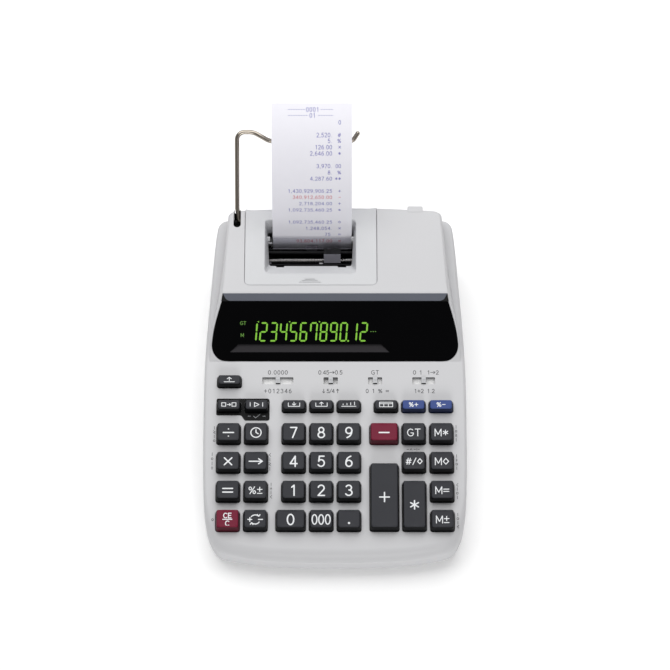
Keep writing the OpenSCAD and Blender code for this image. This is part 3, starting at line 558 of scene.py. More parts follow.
# the ridge between the bevel and the printer deck is softened
for r, y in zip(rings, ys):
    if y in (185.8,): rings[ys.index(y)] = [(a, b, c - (0.28 if c > 60 else 0)) for a, b, c in r]
hump = unit_mesh(Geo().loft(rings), "hump", [M_CASE, M_INNER_SHADE, M_BROW])
TALL = [(0, 256), (30, 255.6), (52, 254.6), (68, 253.7), (72.4, 253.1), (75.4, 251.2), (76.9, 248), (77.3, 243), (80.5, 225), (88, 200), (95, 172), (96, 140)]
tall_outline = smooth_closed([(-x, y) for x, y in TALL[1:][::-1]][0:0] + [(x, y) for x, y in reversed(TALL)] + [(-x, y) for x, y in TALL[1:]], 2.4)
tall = unit_mesh(Geo().loft(perimeter(tall_outline, 20, ptop, lambda p: 2.4 if p.y > 200 else 1.0, steps=5)), "tall", [])
hump = boolean(hump, tall, "INTERSECT")
upper = boolean(upper, hump, "UNION")

inner = unit_mesh(folded(perimeter(PLAN, 8.0, lambda y: rail_z(y) - 2.22, lambda p: 1.5, inset=2.2, steps=2), 146), "inner", [M_INNER_SHADE])
inner.data.materials.clear()
for m in (M_CASE, M_INNER_SHADE, M_BROW): inner.data.materials.append(m)
inner.data.polygons.foreach_set("material_index", [1] * len(inner.data.polygons))
hin = [158, 164, 173.6, 181, 187, 194, 216, 240, 251.2]
hcut = unit_mesh(Geo().loft([section(y, 2.2, 0.8, 0) if y > 186 else [(a, b, c - 0.5 if c > 40 else c) for a, b, c in section(y, 2.2, 0.8, 0)] for y in hin], mat=1), "hcut", [M_CASE, M_INNER_SHADE, M_BROW])
clip = unit_mesh(Geo().box((-100, 100), (251.2, 262), (0, 100)), "clip", [])
inner = boolean(inner, clip)
inner = boolean(inner, hcut, "UNION")
upper = boolean(upper, inner)

KEYS = {  # name: (x, y, w, d, h)
}
ROW = dict(f=26.6, e=48, d=69.4, c=90.8, b=111.5, a=130.3)
SM, ST = (16.6, 7.9, 5.5), (16.4, 14.2, 6.5)
for n, x, r, s in [("feed", -74.5, "a", SM), ("mode", -74.6, "b", SM), ("start", -55.2, "b", SM), ("cost", -28.8, "b", SM), ("sell", -9.5, "b", SM),
                   ("margin", 9.7, "b", SM), ("calendar", 35.9, "b", SM), ("tax_plus", 55.2, "b", SM), ("tax_minus", 74.5, "b", SM),
                   ("divide", -74.6, "c", ST), ("time", -55.3, "c", ST), ("7", -28.9, "c", ST), ("8", -9.6, "c", ST), ("9", 9.7, "c", ST),
                   ("minus", 34.4, "c", (19.9, 14.2, 6.5)), ("grand_total", 55.2, "c", ST), ("memory_total", 74.6, "c", ST),
                   ("multiply", -74.6, "d", ST), ("shift", -55.3, "d", ST), ("4", -28.9, "d", ST), ("5", -9.6, "d", ST), ("6", 9.7, "d", ST),
                   ("non_add", 55.2, "d", ST), ("memory_subtotal", 74.6, "d", ST),
                   ("equals", -74.6, "e", ST), ("percent", -55.3, "e", ST), ("1", -28.9, "e", ST), ("2", -9.6, "e", ST), ("3", 9.7, "e", ST),
                   ("memory_equals", 74.6, "e", ST), ("clear", -74.6, "f", ST), ("sign", -55.3, "f", ST), ("0", -30.8, "f", (20.4, 14.2, 6.5)),
                   ("000", -9.6, "f", ST), ("point", 9.7, "f", ST), ("memory_plus", 74.6, "f", ST)]:
    KEYS[n] = (x, ROW[r], *s)
KEYS["plus"] = (34.4, 43.8, 19.9, 48.6, 6.5)
KEYS["total"] = (55.2, 37.3, 16.4, 35.6, 6.5)


def rrect(w, d, r, step=0.7):
    return round_poly([(-w / 2, -d / 2), (w / 2, -d / 2), (w / 2, d / 2), (-w / 2, d / 2)], r, step)


g = Geo()
for x, y, w, d, h in KEYS.values():
    o = rrect(w + 0.8, d + 0.8, 1.7)
    # a soft lip round each opening: wider at the very top
    nr = inward(o)
    def at(dd, n, x=x, y=y, o=o, nr=nr): return [on_deck(x, y, p.x - q.x * dd, p.y - q.y * dd, n) for p, q in zip(o, nr)]
    g.loft([at(0, -8), at(0, -0.35), at(0.40, 0.05), at(0.40, 8)])
upper = boolean(upper, cutter(g, mats=(M_CASE, M_INNER_SHADE, M_BROW)))

SLOTS = [(-51.3, -29.4), (-8.1, 2.0), (23.3, 33.3), (54.6, 70.6)]
g = Geo()
for a, b in SLOTS:
    o = rrect(b - a, 5.2, 0.5); cx = (a + b) / 2
    # the cut walls of the slots take the darker grey: painted shade
    g.loft([[on_deck(cx, 131.6, p.x, p.y, n) for p in o] for n in (-4, 6)], 3)
upper.data.materials.append(M_SLOT_SHADE)
upper = boolean(upper, cutter(g, mats=(M_CASE, M_INNER_SHADE, M_BROW, M_SLOT_SHADE)))

PANEL_HALF = [(40, 0.22), (68, 0.3), (77.4, 0.4), (80.8, 1.1), (83.4, 2.8), (85.9, 6), (87.2, 10.5), (87, 14.5), (86, 21.5), (84.4, 28.5), (82.4, 35.5), (80.15, 43.05)]
def panel_outline(d):
    full = smooth_open([(-x, y) for x, y in reversed(PANEL_HALF)] + [(0, 0.2)] + PANEL_HALF, 1.6)
    return [p + q * d for p, q in zip(full, inward(full))]


po = panel_outline(-0.12)
upper = boolean(upper, cutter(Geo().loft([[on_slope(p.x, p.y, n) for p in po] for n in (-2.1, 9)]), mats=(M_CASE, M_INNER_SHADE, M_BROW)))
upper = boolean(upper, cutter(Geo().box((-72, 43), (8, 34), (-9, -1), f=on_slope), mats=(M_CASE, M_INNER_SHADE, M_BROW)))
# printer bay, cover seat, arm slot and paper inlet
seat = round_poly([(-64.4, 192.4), (30.0, 192.4), (30.0, 270), (-64.4, 270)], [3.9, 3.9, 0, 0])
upper = boolean(upper, cutter(Geo().loft([[(p.x, p.y, ptop(p.y) - 2.7) for p in seat], [(p.x, p.y, 95) for p in seat]]), mats=(M_CASE, M_INNER_SHADE, M_BROW)))
upper = boolean(upper, cutter(Geo().box((-61, 26.6), (196.2, 250.1), (44, 90), mat=1), mats=(M_CASE, M_INNER_SHADE, M_BROW)))
slot = [Vector((-67.3, 262)), Vector((-72.5, 262))] + [Vector((-69.9 + 2.6 * cos(radians(a)), 241.6 + 2.3 * sin(radians(a)))) for a in range(180, 361, 15)]
upper = boolean(upper, cutter(Geo().loft([[(p.x, p.y, z) for p in slot] for z in (57, 90)], mat=1), mats=(M_CASE, M_INNER_SHADE, M_BROW)))
upper = boolean(upper, cutter(Geo().box((-46.6, 14), (249, 262), (53.6, 65), mat=1), mats=(M_CASE, M_INNER_SHADE, M_BROW)))
# rear catch and the arm's bearing, as closed lumps of the same moulding
catch = round_poly([(51.8, 251.5), (62.8, 251.5), (62.8, 256.6), (51.8, 256.6)], [0, 0, 1.2, 1.2], 0.4)
gc = Geo().loft(slab(catch, lambda x, y, n: (x, y, n), 66.8, ptop(254) + 0.15, 0.5))
gb = Geo().box((-67.2, -65.2), (243.6, 251.6), (60, 67.5), mat=1).box((-65.1, -58), (243.6, 251.6), (60, 66.2), mat=1)
extra = unit_mesh(gc, "lumps", [M_CASE, M_INNER_SHADE, M_BROW])
extra2 = unit_mesh(gb, "lumps2", [M_CASE, M_INNER_SHADE, M_BROW])
upper = boolean(upper, extra, "UNION")
upper = boolean(upper, extra2, "UNION")
finish_piece(upper, "case", "case_grey", ("top_case",), angle=28, level=True)

# dark sheet that closes the arm's slot behind the wire: painted shade standing for the slot's depth
u = [(-72.4, 57.1), (-67.4, 57.1), (-67.4, 69.3), (-67.95, 69.3), (-67.95, 65.3), (-71.85, 65.3), (-71.85, 69.3), (-72.4, 69.3)]
piece(Geo().loft([[(x, y, z) for x, z in u] for y in (252.9, 253.5)]), "slot_shade_sheet", "case", "dark_plastic", [M_PAINTED_VOID], angle=30)

# ---- lower case
def low_rings(outline, inset, z0, z1, r, steps=5):
    nr = inward(outline); rings = []
    for k in range(steps + 1):
        t = k / steps * pi / 2; d = inset + r * (1 - sin(t)); z = z0 + r * (1 - cos(t))
        rings.append([(p.x + q.x * d, p.y + q.y * d, z) for p, q in zip(outline, nr)])
    rings.append([(p.x + q.x * inset, p.y + q.y * inset, z1 - 0.3) for p, q in zip(outline, nr)])
    rings.append([(p.x + q.x * (inset + 0.3), p.y + q.y * (inset + 0.3), z1) for p, q in zip(outline, nr)])
    return rings


lower = unit_mesh(Geo().loft(low_rings(PLAN, 0.35, 2.5, 13.95, 2.6)), "lower_shell", [M_LOWER_LIT, M_INNER_SHADE])
g = Geo().loft([[(p.x + q.x * 2.6, p.y + q.y * 2.6, z) for p, q in zip(PLAN, inward(PLAN))] for z in (4.7, 30)], mat=1)
lower = boolean(lower, cutter(g, mats=(M_LOWER_LIT, M_INNER_SHADE)))
g = Geo()
SCREWS = [(x, y) for x in (-80, 80) for y in (60, 140, 200)]
for x, y in SCREWS: g.lathe([(3.3, 3.2), (3.3, 14), (1.0, 14.0)], lambda a, b, h, x=x, y=y: (x + a, y + b, h), 1, 24)
g.box((60, 74), (236, 252.4), (3.4, 12.6), 1)
lower = boolean(lower, cutter(g, mats=(M_LOWER_LIT, M_INNER_SHADE)), "UNION")
g = Geo()
for x in (-74, 74):
    for y in (22, 234): g.lathe([(6.3, 1), (6.3, 3.3)], lambda a, b, h, x=x, y=y: (x + a, y + b, h), 0, 40)
for x, y in SCREWS: g.lathe([(3.4, 1), (3.4, 3.2), (2.6, 4.4)], lambda a, b, h, x=x, y=y: (x + a, y + b, h), 0, 28)
for i in range(7):
    o = rrect(40, 2, 0.95, 0.4)
    g.loft([[(p.x - 20, p.y + 181 + 5 * i, z) for p in o] for z in (1, 8)])
door = rrect(46, 26, 2.5)
g.loft([[(p.x + 30, p.y + 120, z) for p in door] for z in (1, 3.5)])
g.lathe([(2.8, 243.4), (2.8, 262)], lambda a, b, h: (67 + a, h, 8.4 + b), 1, 32)
lower = boolean(lower, cutter(g, mats=(M_LOWER_LIT, M_INNER_SHADE)))
finish_piece(lower, "case", "lower_case_grey", ("bottom_case",), angle=30, level=True)

# battery door, screws, feet
def plain(x0, y0): return lambda x, y, n: (x0 + x, y0 + y, n)
do = rrect(45.4, 25.4, 2.3)
g = Geo()
nr = inward(do)
g.loft([[(p.x + q.x * d + 30, p.y + q.y * d + 120, z) for p, q in zip(do, nr)] for d, z in ((0.5, 2.75), (0, 3.1), (0, 3.5))])
for i in range(5):
    g.loft([[(p.x + 30, p.y + 127 - i * 1.5, z) for p in rrect(12 - 1.6 * i, 0.8, 0.38, 0.3)] for z in (2.45, 2.8)])
piece(g, "battery_door", "case", "lower_case_grey", [M_LOWER_LIT])
g = Geo()
for x, y in SCREWS:
    g.lathe([(0.1, 3.0), (2.0, 3.0), (2.5, 3.5), (2.5, 4.0), (1.2, 4.2), (1.2, 10)], plain(x, y), 0, 28)
sc = unit_mesh(g, "case_screws", [M_STEEL, M_DARK_AND_SHADE])
# the cross slot's faces take the dark material: painted shade in the steel screw heads
g = Geo()
for x, y in SCREWS:
    for a in (0, pi / 2):
        o = [(Matrix.Rotation(a + 0.5 + x * 0.1 + y, 2) @ Vector(q)) for q in ((-1.5, -0.28), (1.5, -0.28), (1.5, 0.28), (-1.5, 0.28))]
        if a == 0: g.loft([[(p.x + x, p.y + y, z) for p in o] for z in (2, 3.7)], 1)
sc = boolean(sc, cutter(g, mats=(M_STEEL, M_DARK_AND_SHADE)))
g = Geo()
for x, y in SCREWS:
    o = [(Matrix.Rotation(pi / 2 + 0.5 + x * 0.1 + y, 2) @ Vector(q)) for q in ((-1.5, -0.28), (1.5, -0.28), (1.5, 0.28), (-1.5, 0.28))]
    g.loft([[(p.x + x, p.y + y, z) for p in o] for z in (2, 3.7)], 1)
sc = boolean(sc, cutter(g, mats=(M_STEEL, M_DARK_AND_SHADE)))
finish_piece(sc, "case", "bright_steel", angle=35)
g = Geo()
for x in (-74, 74):
    for y in (22, 234):
        g.lathe([(0.2, 0.35), (3.6, 0.35), (4.2, 0.0), (5.3, 0.0), (5.9, 0.5), (6.0, 1.1), (6.0, 3.2), (0.2, 3.2)], plain(x, y), 0, 48)
piece(g, "rubber_pads", "case", "black_rubber", [M_RUBBER], ("rubber_feet",), angle=40)
g = Geo().lathe([(2.75, 249), (2.75, 252.6), (4.4, 252.6), (4.6, 252.8), (4.6, 253.15), (4.2, 253.5), (3.0, 253.5), (2.45, 253.0), (2.45, 244)], lambda a, b, h: (67 + a, h, 8.4 + b), 0, 36)
g.lathe([(0.05, 244), (0.7, 244), (0.7, 250.5), (0.4, 251.2), (0.05, 251.2)], lambda a, b, h: (67 + a, h, 8.4 + b), 1, 16)
piece(g, "socket_ring", "case", "dark_plastic", [M_DARK_AND_SHADE, M_STEEL], angle=35)

# ---------------------------------------------------------------- display
po = panel_outline(0.2)
panel = unit_mesh(Geo().loft(slab(po, on_slope, -2.0, 0.0, 0.35, 3)), "panel_blank", [M_GLOSS, M_LEDGE_SHEEN])
# the ledge under the figures: a facet that dips into the panel, with its ends cut on the slant; its satin grey is a
# painted sheen on the black panel
LT, LB = 12.5, 6.8
g = Geo()
tv = [(-74.3, LB, 0.0), (38.5, LB, 0.0), (32.6, LT, -1.25), (-68.5, LT, -1.25), (-74.3, LB, 3), (38.5, LB, 3), (38.5, LT + 0.05, 3), (-74.3, LT + 0.05, 3),
      (32.6, LT + 0.05, 0.0), (-68.5, LT + 0.05, 0.0)]
V_ = [on_slope(*p) for p in [(-74.3, LB, -0.01), (38.5, LB, -0.01), (32.6, LT, -1.25), (-68.5, LT, -1.25), (-74.3, LB - 0.02, 2), (38.5, LB - 0.02, 2), (32.6, LT, 2), (-68.5, LT, 2)]]
g.add(V_, [[3, 2, 1, 0]], 1)
g.add([], [], 0)
o = len(g.v) - 8
for f in ([4, 5, 6, 7], [0, 1, 5, 4], [1, 2, 6, 5], [2, 3, 7, 6], [3, 0, 4, 7]): g.f.append(f); g.m.append(0)
panel = boolean(panel, cutter(g, mats=(M_GLOSS, M_LEDGE_SHEEN)))
panel.name = "gloss_panel"
finish_piece(panel, "case", "gloss_black", ("display_window",), angle=25)

# bevel over the panel, with rounded lower corners
BL = hypot(3.6, 4.2); cb, sb = 3.6 / BL, 4.2 / BL
def on_brow(x, u, n): return (x, 182.2 + u * cb - n * sb, 62.6 + u * sb + n * cb)
bo = round_poly([(-76.8, 0.05), (76.8, 0.05), (79.2, BL + 0.02), (-79.2, BL + 0.02)], [4.6, 4.6, 0.0, 0.0], 0.4)
piece(Geo().loft(slab(bo, on_brow, -0.6, 0.12, 0.1, 1)), "brow_strip", "case", "case_grey", [M_BROW], angle=30)
ho = [(-80.5, -0.25), (80.5, -0.25), (79.5, BL - 0.02), (-79.5, BL - 0.02)]
piece(Geo().loft(slab(round_poly(ho, 0.0), on_brow, -0.7, 0.05)), "brow_backing", "case", "gloss_black", [M_BLACKSATIN], angle=30)

SEG = {"0": "abcdef", "1": "bc", "2": "abged", "3": "abgcd", "4": "fgbc", "5": "afgcd", "6": "afgedc", "7": "fabc", "8": "abcdefg", "9": "abfgcd"}
def seg_polys(ch, cx, y0, y1, w, t, slant):
    h = y1 - y0; x0, x1 = -w / 2, w / 2; ym = h / 2; e = 0.22; k = t / 2
    bars = {"a": ((x0, h), (x1, h)), "d": ((x0, 0), (x1, 0)), "g": ((x0, ym), (x1, ym)),
            "f": ((x0, ym), (x0, h)), "e": ((x0, 0), (x0, ym)), "b": ((x1, ym), (x1, h)), "c": ((x1, 0), (x1, ym))}
    out = []
    for s in SEG[ch]:
        (ax, ay), (bx, by) = bars[s]
        if ay == by: p = [(ax + e, ay), (ax + e + k, ay - k), (bx - e - k, ay - k), (bx - e, ay), (bx - e - k, ay + k), (ax + e + k, ay + k)]
        else: p = [(ax, ay + e), (ax + k, ay + e + k), (ax + k, by - e - k), (ax, by - e), (ax - k, by - e - k), (ax - k, ay + e + k)]
        out.append([(cx + px + (py - h / 2) * slant, y0 + py) for px, py in p])
    return out


g = Geo(); y0, y1 = 14.9, 27.5
for k, ch in enumerate("123456789012"):
    for p in seg_polys(ch, -57.7 + 7.09 * k, y0, y1, 4.3, 1.12, 0.08): add_flat(g, [p], on_slope, -0.05, 0.03)
add_flat(g, [[(9.3 + 0.65 * cos(a * pi / 6), 14.8 + 0.65 * sin(a * pi / 6)) for a in range(12)]], on_slope, -0.05, 0.03)
for xp in (258.3, 289.6, 319.4):
    x = (xp - 335.2) / 1.4128
    add_flat(g, [[(x - 0.5, 28.7), (x + 0.4, 27.7), (x + 0.8, 28.7)]], on_slope, -0.05, 0.03)
piece(g, "lit_figures", "case", "gloss_black", [M_DIGIT], angle=40, weight=False)
g = Geo()
add_flat(g, stroke_polys(lay_text("GT", -65.0, 27.4, 2.3, 0.25), 0.42), on_slope, -0.05, 0.03)
add_flat(g, stroke_polys(lay_text("M", -65.6, 18.9, 2.3, 0.25), 0.42), on_slope, -0.05, 0.03)
for i in range(3): add_flat(g, [[(25 + 1.6 * i, 21.2), (25.9 + 1.6 * i, 21.2), (25.9 + 1.6 * i, 21.7), (25 + 1.6 * i, 21.7)]], on_slope, -0.05, 0.03)
piece(g, "dim_figures", "case", "gloss_black", [M_DIM], angle=40, weight=False)

# ---------------------------------------------------------------- keys
def icon_feed(h): return [[(-3.6, -h * .5), (3.6, -h * .5)], [(0, -h * .25), (0, h * .5)], [(-1.5, h * .18), (0, h * .5), (1.5, h * .18)]]
ICON = {
    "feed": lambda: icon_feed(3.4),
    "mode": lambda: [[(-5, -1.3), (-2.2, -1.3), (-2.2, 1.3), (-5, 1.3), (-5, -1.3)], [(-1.2, 0), (1.2, 0)], [(.5, -.8), (1.2, 0), (.5, .8)], [(2.2, -1.3), (5, -1.3), (5, 1.3), (2.2, 1.3), (2.2, -1.3)]],
    "start": lambda: [[(-1.4, -1.6), (-1.4, 1.6), (1.8, 0), (-1.4, -1.6)], [(-4.4, -1.4), (-4.4, 1.4)], [(4.4, -1.4), (4.4, 1.4)]],
    "cost": lambda: [[(-4, 1.2), (-4, -1.4), (4, -1.4), (4, 1.2)], [(0, 1.8), (0, -.4)], [(-1.2, .5), (0, -.5), (1.2, .5)]],
    "sell": lambda: [[(-4, 1.2), (-4, -1.4), (4, -1.4), (4, 1.2)], [(0, -.6), (0, 1.8)], [(-1.2, .8), (0, 1.8), (1.2, .8)]],
    "margin": lambda: [[(-5, -1.4), (5, -1.4)], [(-4, -.3), (-4, .4)], [(-1.3, -.3), (-1.3, .9)], [(1.3, -.3), (1.3, 1.4)], [(4, -.3), (4, 1.9)]],
    "calendar": lambda: [[(-4.6, -1.7), (4.6, -1.7), (4.6, 1.7), (-4.6, 1.7), (-4.6, -1.7)], [(-4.6, .6), (4.6, .6)], [(-1.6, -1.7), (-1.6, .6)], [(1.6, -1.7), (1.6, .6)]],
    "time": lambda: [arc(0, 0, 3.6, 3.6, 0, 360, 24), [(0, 2.1), (0, 0), (1.6, -.9)]],
    "shift": lambda: [[(-4.6, 0), (4.2, 0)], [(2.0, 1.9), (4.6, 0), (2.0, -1.9)]],
    "equals": lambda: [[(-3.4, 1.35), (3.4, 1.35)], [(-3.4, -1.35), (3.4, -1.35)]],
    "divide": lambda: [[(-3.6, 0), (3.6, 0)], [(0, 2.7), (0.01, 2.7)], [(0, -2.7), (0.01, -2.7)]],
    "multiply": lambda: [[(-2.6, -2.6), (2.6, 2.6)], [(-2.6, 2.6), (2.6, -2.6)]],
    "minus": lambda: [[(-3.4, 0), (3.4, 0)]],
    "plus": lambda: [[(-3.4, 0), (3.4, 0)], [(0, -3.4), (0, 3.4)]],
    "point": lambda: [[(0, -2.6), (0.01, -2.6)]],
    "total": lambda: [[(-3.1 * cos(radians(a)), -3.1 * sin(radians(a))), (3.1 * cos(radians(a)), 3.1 * sin(radians(a)))] for a in (90, 30, 150)],
    "sign": lambda: [arc(0, .75, 3.1, 2.6, 152, 40, 10), [(1.5, 3.6), (2.45, 2.35), (3.3, 3.5)], arc(0, -.75, 3.1, 2.6, 332, 220, 10), [(-1.5, -3.6), (-2.45, -2.35), (-3.3, -3.5)],
                     [(-5.1, 0), (-2.3, 0)], [(-3.7, -1.4), (-3.7, 1.4)], [(2.3, 0), (5.1, 0)]],
}
FAT = {"divide": 0.95, "multiply": 0.95, "minus": 1.0, "plus": 0.95, "point": 1.6, "total": 0.95, "equals": 0.95, "shift": 0.85}


def legend(name):
    """(strokes, width) in the key's own frame."""
    if name.isdigit() and name != "000": return lay_text(name, 0, 0, 7.6, wide=1.0), 1.0
    if name == "000": return lay_text("ooo", 0, 0, 7.0, gap=.13, wide=1.25), 0.85
    if name in ICON:
        return ICON[name](), FAT.get(name, 0.5 if KEYS[name][3] < 9 else 0.75)
    text = {"grand_total": "GT", "memory_total": "M*", "memory_subtotal": "Md", "memory_equals": "M=", "memory_plus": "Mp", "percent": "%p", "non_add": "#/d"}
    if name in text:
        return lay_text(text[name], 0, 0, 4.5 if name == "non_add" else 5.2, gap=.24), 0.64
    if name == "clear":
        return lay_text("CE", 0, 2.9, 3.5, gap=.24) + [[(-3.2, 0.1), (3.2, 0.1)]] + lay_text("C", 0, -2.8, 3.5), 0.66
    if name == "tax_plus": return lay_text("%+", 0, 0, 3.2, gap=.3), 0.55
    if name == "tax_minus": return lay_text("%-", 0, 0, 3.2, gap=.3), 0.55
    return [], 1


def key_piece(name):
    kx, ky, w, d, h = KEYS[name]
    small = d < 9
    def put(x, y, n): return on_deck(kx, ky, x, y, n)
    tilt = 0.0
    top_w, top_f, top_b = (1.3, 1.3, 0.8) if small else (1.3, 1.4, 0.9)
    # (side, front, back) insets and height
    levels = [(0, 0, 0, -2.9), (0, 0, 0, 0.3), (.22, .14, .12, h * .45), (.48, .38, .3, h - 1.15), (.62, .58, .42, h - .7),
              (.78, .86, .55, h - .36), (1.0, 1.15, .72, h - .12), (top_w + .05, top_f + .1, top_b + .15, h - .02), (top_w + .7, top_f + .8, top_b + .8, h)]
    def dish(x, y): u = x / (w / 2 - 2.2); return -0.22 * max(0.0, 1 - u * u)
    rings = []
    for i, (s, f, b, n) in enumerate(levels):
        ww, dd = w - 2 * s, d - f - b; cy = (f - b) / 2
        r = 1.7 - 0.2 * min(s, 1.5)
        o = rrect(ww, dd, r, 0.45)
        rings.append([(p.x, p.y + cy, n) for p in o])
    n_out = len(rings[0])
    rings = [r if len(r) == n_out else None for r in rings]
    geo = Geo()
    # rings keep one count of points, so corners use a fixed number of steps
    rings = []
    for (s, f, b, n) in levels:
        ww, dd = w - 2 * s, d - f - b; cy = (f - b) / 2; r = max(0.8, 1.55 - 0.3 * s); pts = []
        for cx, cyy, a0 in ((ww / 2 - r, -dd / 2 + r, -90), (ww / 2 - r, dd / 2 - r, 0), (-ww / 2 + r, dd / 2 - r, 90), (-ww / 2 + r, -dd / 2 + r, 180)):
            pts += [(cx + r * cos(radians(a0 + 18 * j)), cyy + r * sin(radians(a0 + 18 * j)) + cy, n) for j in range(6)]
            if a0 == -90 and False: pass
        rings.append(pts)
    # extra points along the long edges let the top dish
    def dense(pts):
        out = []
        for i, p in enumerate(pts):
            q = pts[(i + 1) % len(pts)]; out.append(p)
            if i % 6 == 5:
                m = 6
                out += [tuple(a + (c - a) * t / m for a, c in zip(p, q)) for t in range(1, m)]
        return out
    rings = [dense(r) for r in rings]
    last = rings[-1]; cxm = 0.0; cym = sum(p[1] for p in last) / len(last)
    for k in (0.8, 0.6, 0.42, 0.26, 0.12, 0.03):
        rings.append([(p[0] * k, cym + (p[1] - cym) * k, h) for p in last])
    rings = [[put(x, y, n + (dish(x, y) if i >= 8 else 0)) for x, y, n in r] for i, r in enumerate(rings)]
    nr = len(rings)
    # the walls below the top take the darker copy: painted shade on the key sides
    geo.loft(rings[:6], 1, True, False)
    geo.loft(rings[5:], 0, False, True)
    # skirt flange and stem under the cap
    geo.box((-w / 2 - .95, w / 2 + .95), (-d / 2 - 1.3, d / 2 + 1.3), (-3.5, -2.95), 1, f=put)
    geo.lathe([(2.4, -9), (2.4, -3.45)], put, 1, 20)
    st, lw = legend(name)
    dy = -0.65 if not small else 0.0
    if name == "plus": dy = -1.4
    if name == "total": dy = -0.6
    st = [[(x, y + dy) for x, y in s] for s in st]
    def put_top(x, y, n):
        t = min(1.0, max(0.0, (w / 2 - 1.6 - abs(x)) / 0.8))
        return put(x, y, h + n + dish(x, y) * t)
    add_flat(geo, stroke_polys(st, lw), put_top, -0.12, 0.045, 2)
    if name == "5": add_flat(geo, stroke_polys([arc(0, -.65, 4.5, 4.5, 205, 335, 14)], 0.4), put_top, -0.12, 0.16, 0)
    top, side = ((M_RED, M_RED_SHADE) if name in ("minus", "clear") else (M_BLUE, M_BLUE_SHADE) if name.startswith("tax") else (M_KEY, M_KEY_SHADE))
    slotname = "key_red" if name in ("minus", "clear") else "key_blue" if name.startswith("tax") else "key_charcoal"
    ob = unit_mesh(geo, "cap_" + name, [top, side, M_LEGEND])
    # weld the seam between the side and top lofts
    bm = bmesh.new(); bm.from_mesh(ob.data); bmesh.ops.remove_doubles(bm, verts=bm.verts, dist=0.0005); bmesh.ops.recalc_face_normals(bm, faces=bm.faces); bm.to_mesh(ob.data); bm.free()
    body = [b for b, obj in frame["bodies"].items() if "key_" + name == b or b == "key_" + name][0]
    finish_piece(ob, body, slotname, ("key_" + name,), angle=50)


for nm in KEYS: key_piece(nm)

# ---------------------------------------------------------------- switches and deck print
for nm, (a, b) in zip(("decimal_switch", "rounding_switch", "grand_total_switch", "power_switch"), SLOTS):
    cx = (a + b) / 2; half = (b - a) / 2; go = round((b - a - 3.4) / 2 - 0.15, 2); top = -3.1 if nm == "rounding_switch" else -2.4
    def put(x, y, n, cx=cx): return on_deck(cx, 131.6, x, y, n)
    geo = Geo().loft(slab(rrect(3.2, 4.6, 0.35, 0.25), put, top - 0.2, 1.1, 0.25, 3), 0)
    # the plate that rides under the deck and closes the slot at every setting
    pl = half + go + 0.3
    lf = min(pl, 15.0) if nm == "decimal_switch" else pl  # shorter on the side of the feed key
    geo.loft(slab([Vector((p.x + (pl - lf) / 2, p.y)) for p in rrect(pl + lf, 6.2, 0.5, 0.3)], put, top - 0.5, top, 0.12, 1), 2)
    for k in (-1.5, -0.5, 0.5): geo.box((-1.2, 1.2), (k + 0.1, k + 0.42), (1.0, 1.24), 0, f=put)
    ob = unit_mesh(geo, "knob_" + nm.replace("_switch", ""), [M_KNOB, M_DARK_AND_SHADE, M_PLATE])
    # the knob's forward faces take the dark material: painted shade on its front
    for f in ob.data.polygons:
        if f.normal.y < -0.7 and f.material_index == 0 and f.center.z > deck_z(131.6) + top + 0.3: f.material_index = 1
    body = nm if nm in frame["bodies"] else [x for x in frame["bodies"] if nm in x][0]
    finish_piece(ob, body, "switch_grey", (nm,), angle=35)

def deck(x, y, n): return (x, y, deck_z(y) + n)
g = Geo()
def mark(strokes, w=0.42): add_flat(g, stroke_polys(strokes, w), deck, -0.06, 0.02)
def px(x, y):
    """A place on the deck from its row and column in the front view."""
    yy = 80.0
    for _ in range(8):
        z = deck_z(yy); yp = yy - 127; vp = 0.866 * yp + 0.5 * z; c = -0.5 * yp + 0.866 * z; s = 3496 / (2500 - c)
        yy += (((413.5 - y) / s) - vp) / (0.866 + 0.5 * T7)
    return (x - 335.2) / s, yy
R1, R2 = px(300, 391.6)[1], px(300, 373.2)[1]
for i, ch in enumerate("+012346"): mark(lay_text(ch, -48.9 + 2.88 * i, R1, 3.0, wide=.9), 0.4)
mark(lay_text("0.0000", -40.4, R2, 2.9, gap=.3), 0.4)
rx = -3.05
mark(lay_text("v", rx - 4.9, R1, 2.9) + lay_text("5/4", rx, R1, 2.8, gap=.1) + lay_text("^", rx + 4.9, R1, 2.9), 0.4)
mark(lay_text("0.45>0.5", rx - .2, R2, 2.9, gap=.16), 0.4)
gx = 28.3
mark(lay_text("GT", gx, R2, 2.9, gap=.3), 0.4)
mark(lay_text("0", gx - 5.6, R1, 2.8) + lay_text("1", gx - 1.2, R1, 2.8) + lay_text("%", gx + 3.6, R1, 2.8) + lay_text("=", gx + 8.6, R1, 2.8), 0.4)
pxx = 62.6
mark(lay_text("0", pxx - 6.4, R2, 2.9) + lay_text("1", pxx - 2.0, R2, 2.9) + lay_text("1>2", pxx + 6.6, R2, 2.8, gap=.2), 0.4)
mark(lay_text("1+2", pxx - 3.4, R1, 2.8, gap=.2) + lay_text("1.2", pxx + 5.0, R1, 2.8, gap=.2), 0.4)
# fine columns of marks beside the keys: short uprights, small loops and ticks
def column(xp, y0p, y1p, kinds):
    (xa, ya), (_, yb) = px(xp, y1p), px(xp, y0p); n = len(kinds); st = (yb - ya) / n
    for i, c in enumerate(kinds):
        cy = yb - st * (i + 0.5); h = st * 0.36
        if c == "|": sh = [[(xa, cy - h), (xa, cy + h)]]
        elif c == "o": sh = [arc(xa, cy, .62, .8, 0, 360, 12)]
        elif c == "z": sh = [[(xa - .6, cy + h), (xa + .6, cy + h * .2), (xa - .6, cy - h * .2), (xa + .6, cy - h)]]
        elif c == "<": sh = [[(xa + .6, cy + h), (xa - .5, cy), (xa + .6, cy - h)]]
        else: sh = [[(xa - .6, cy), (xa + .6, cy)], [(xa, cy - h), (xa, cy + h)]]
        mark(sh, 0.34)
column(214.4, 426, 443, "|z|o"); column(212.2, 452, 470, "|o|+"); column(212.8, 516.5, 521.5, "o")
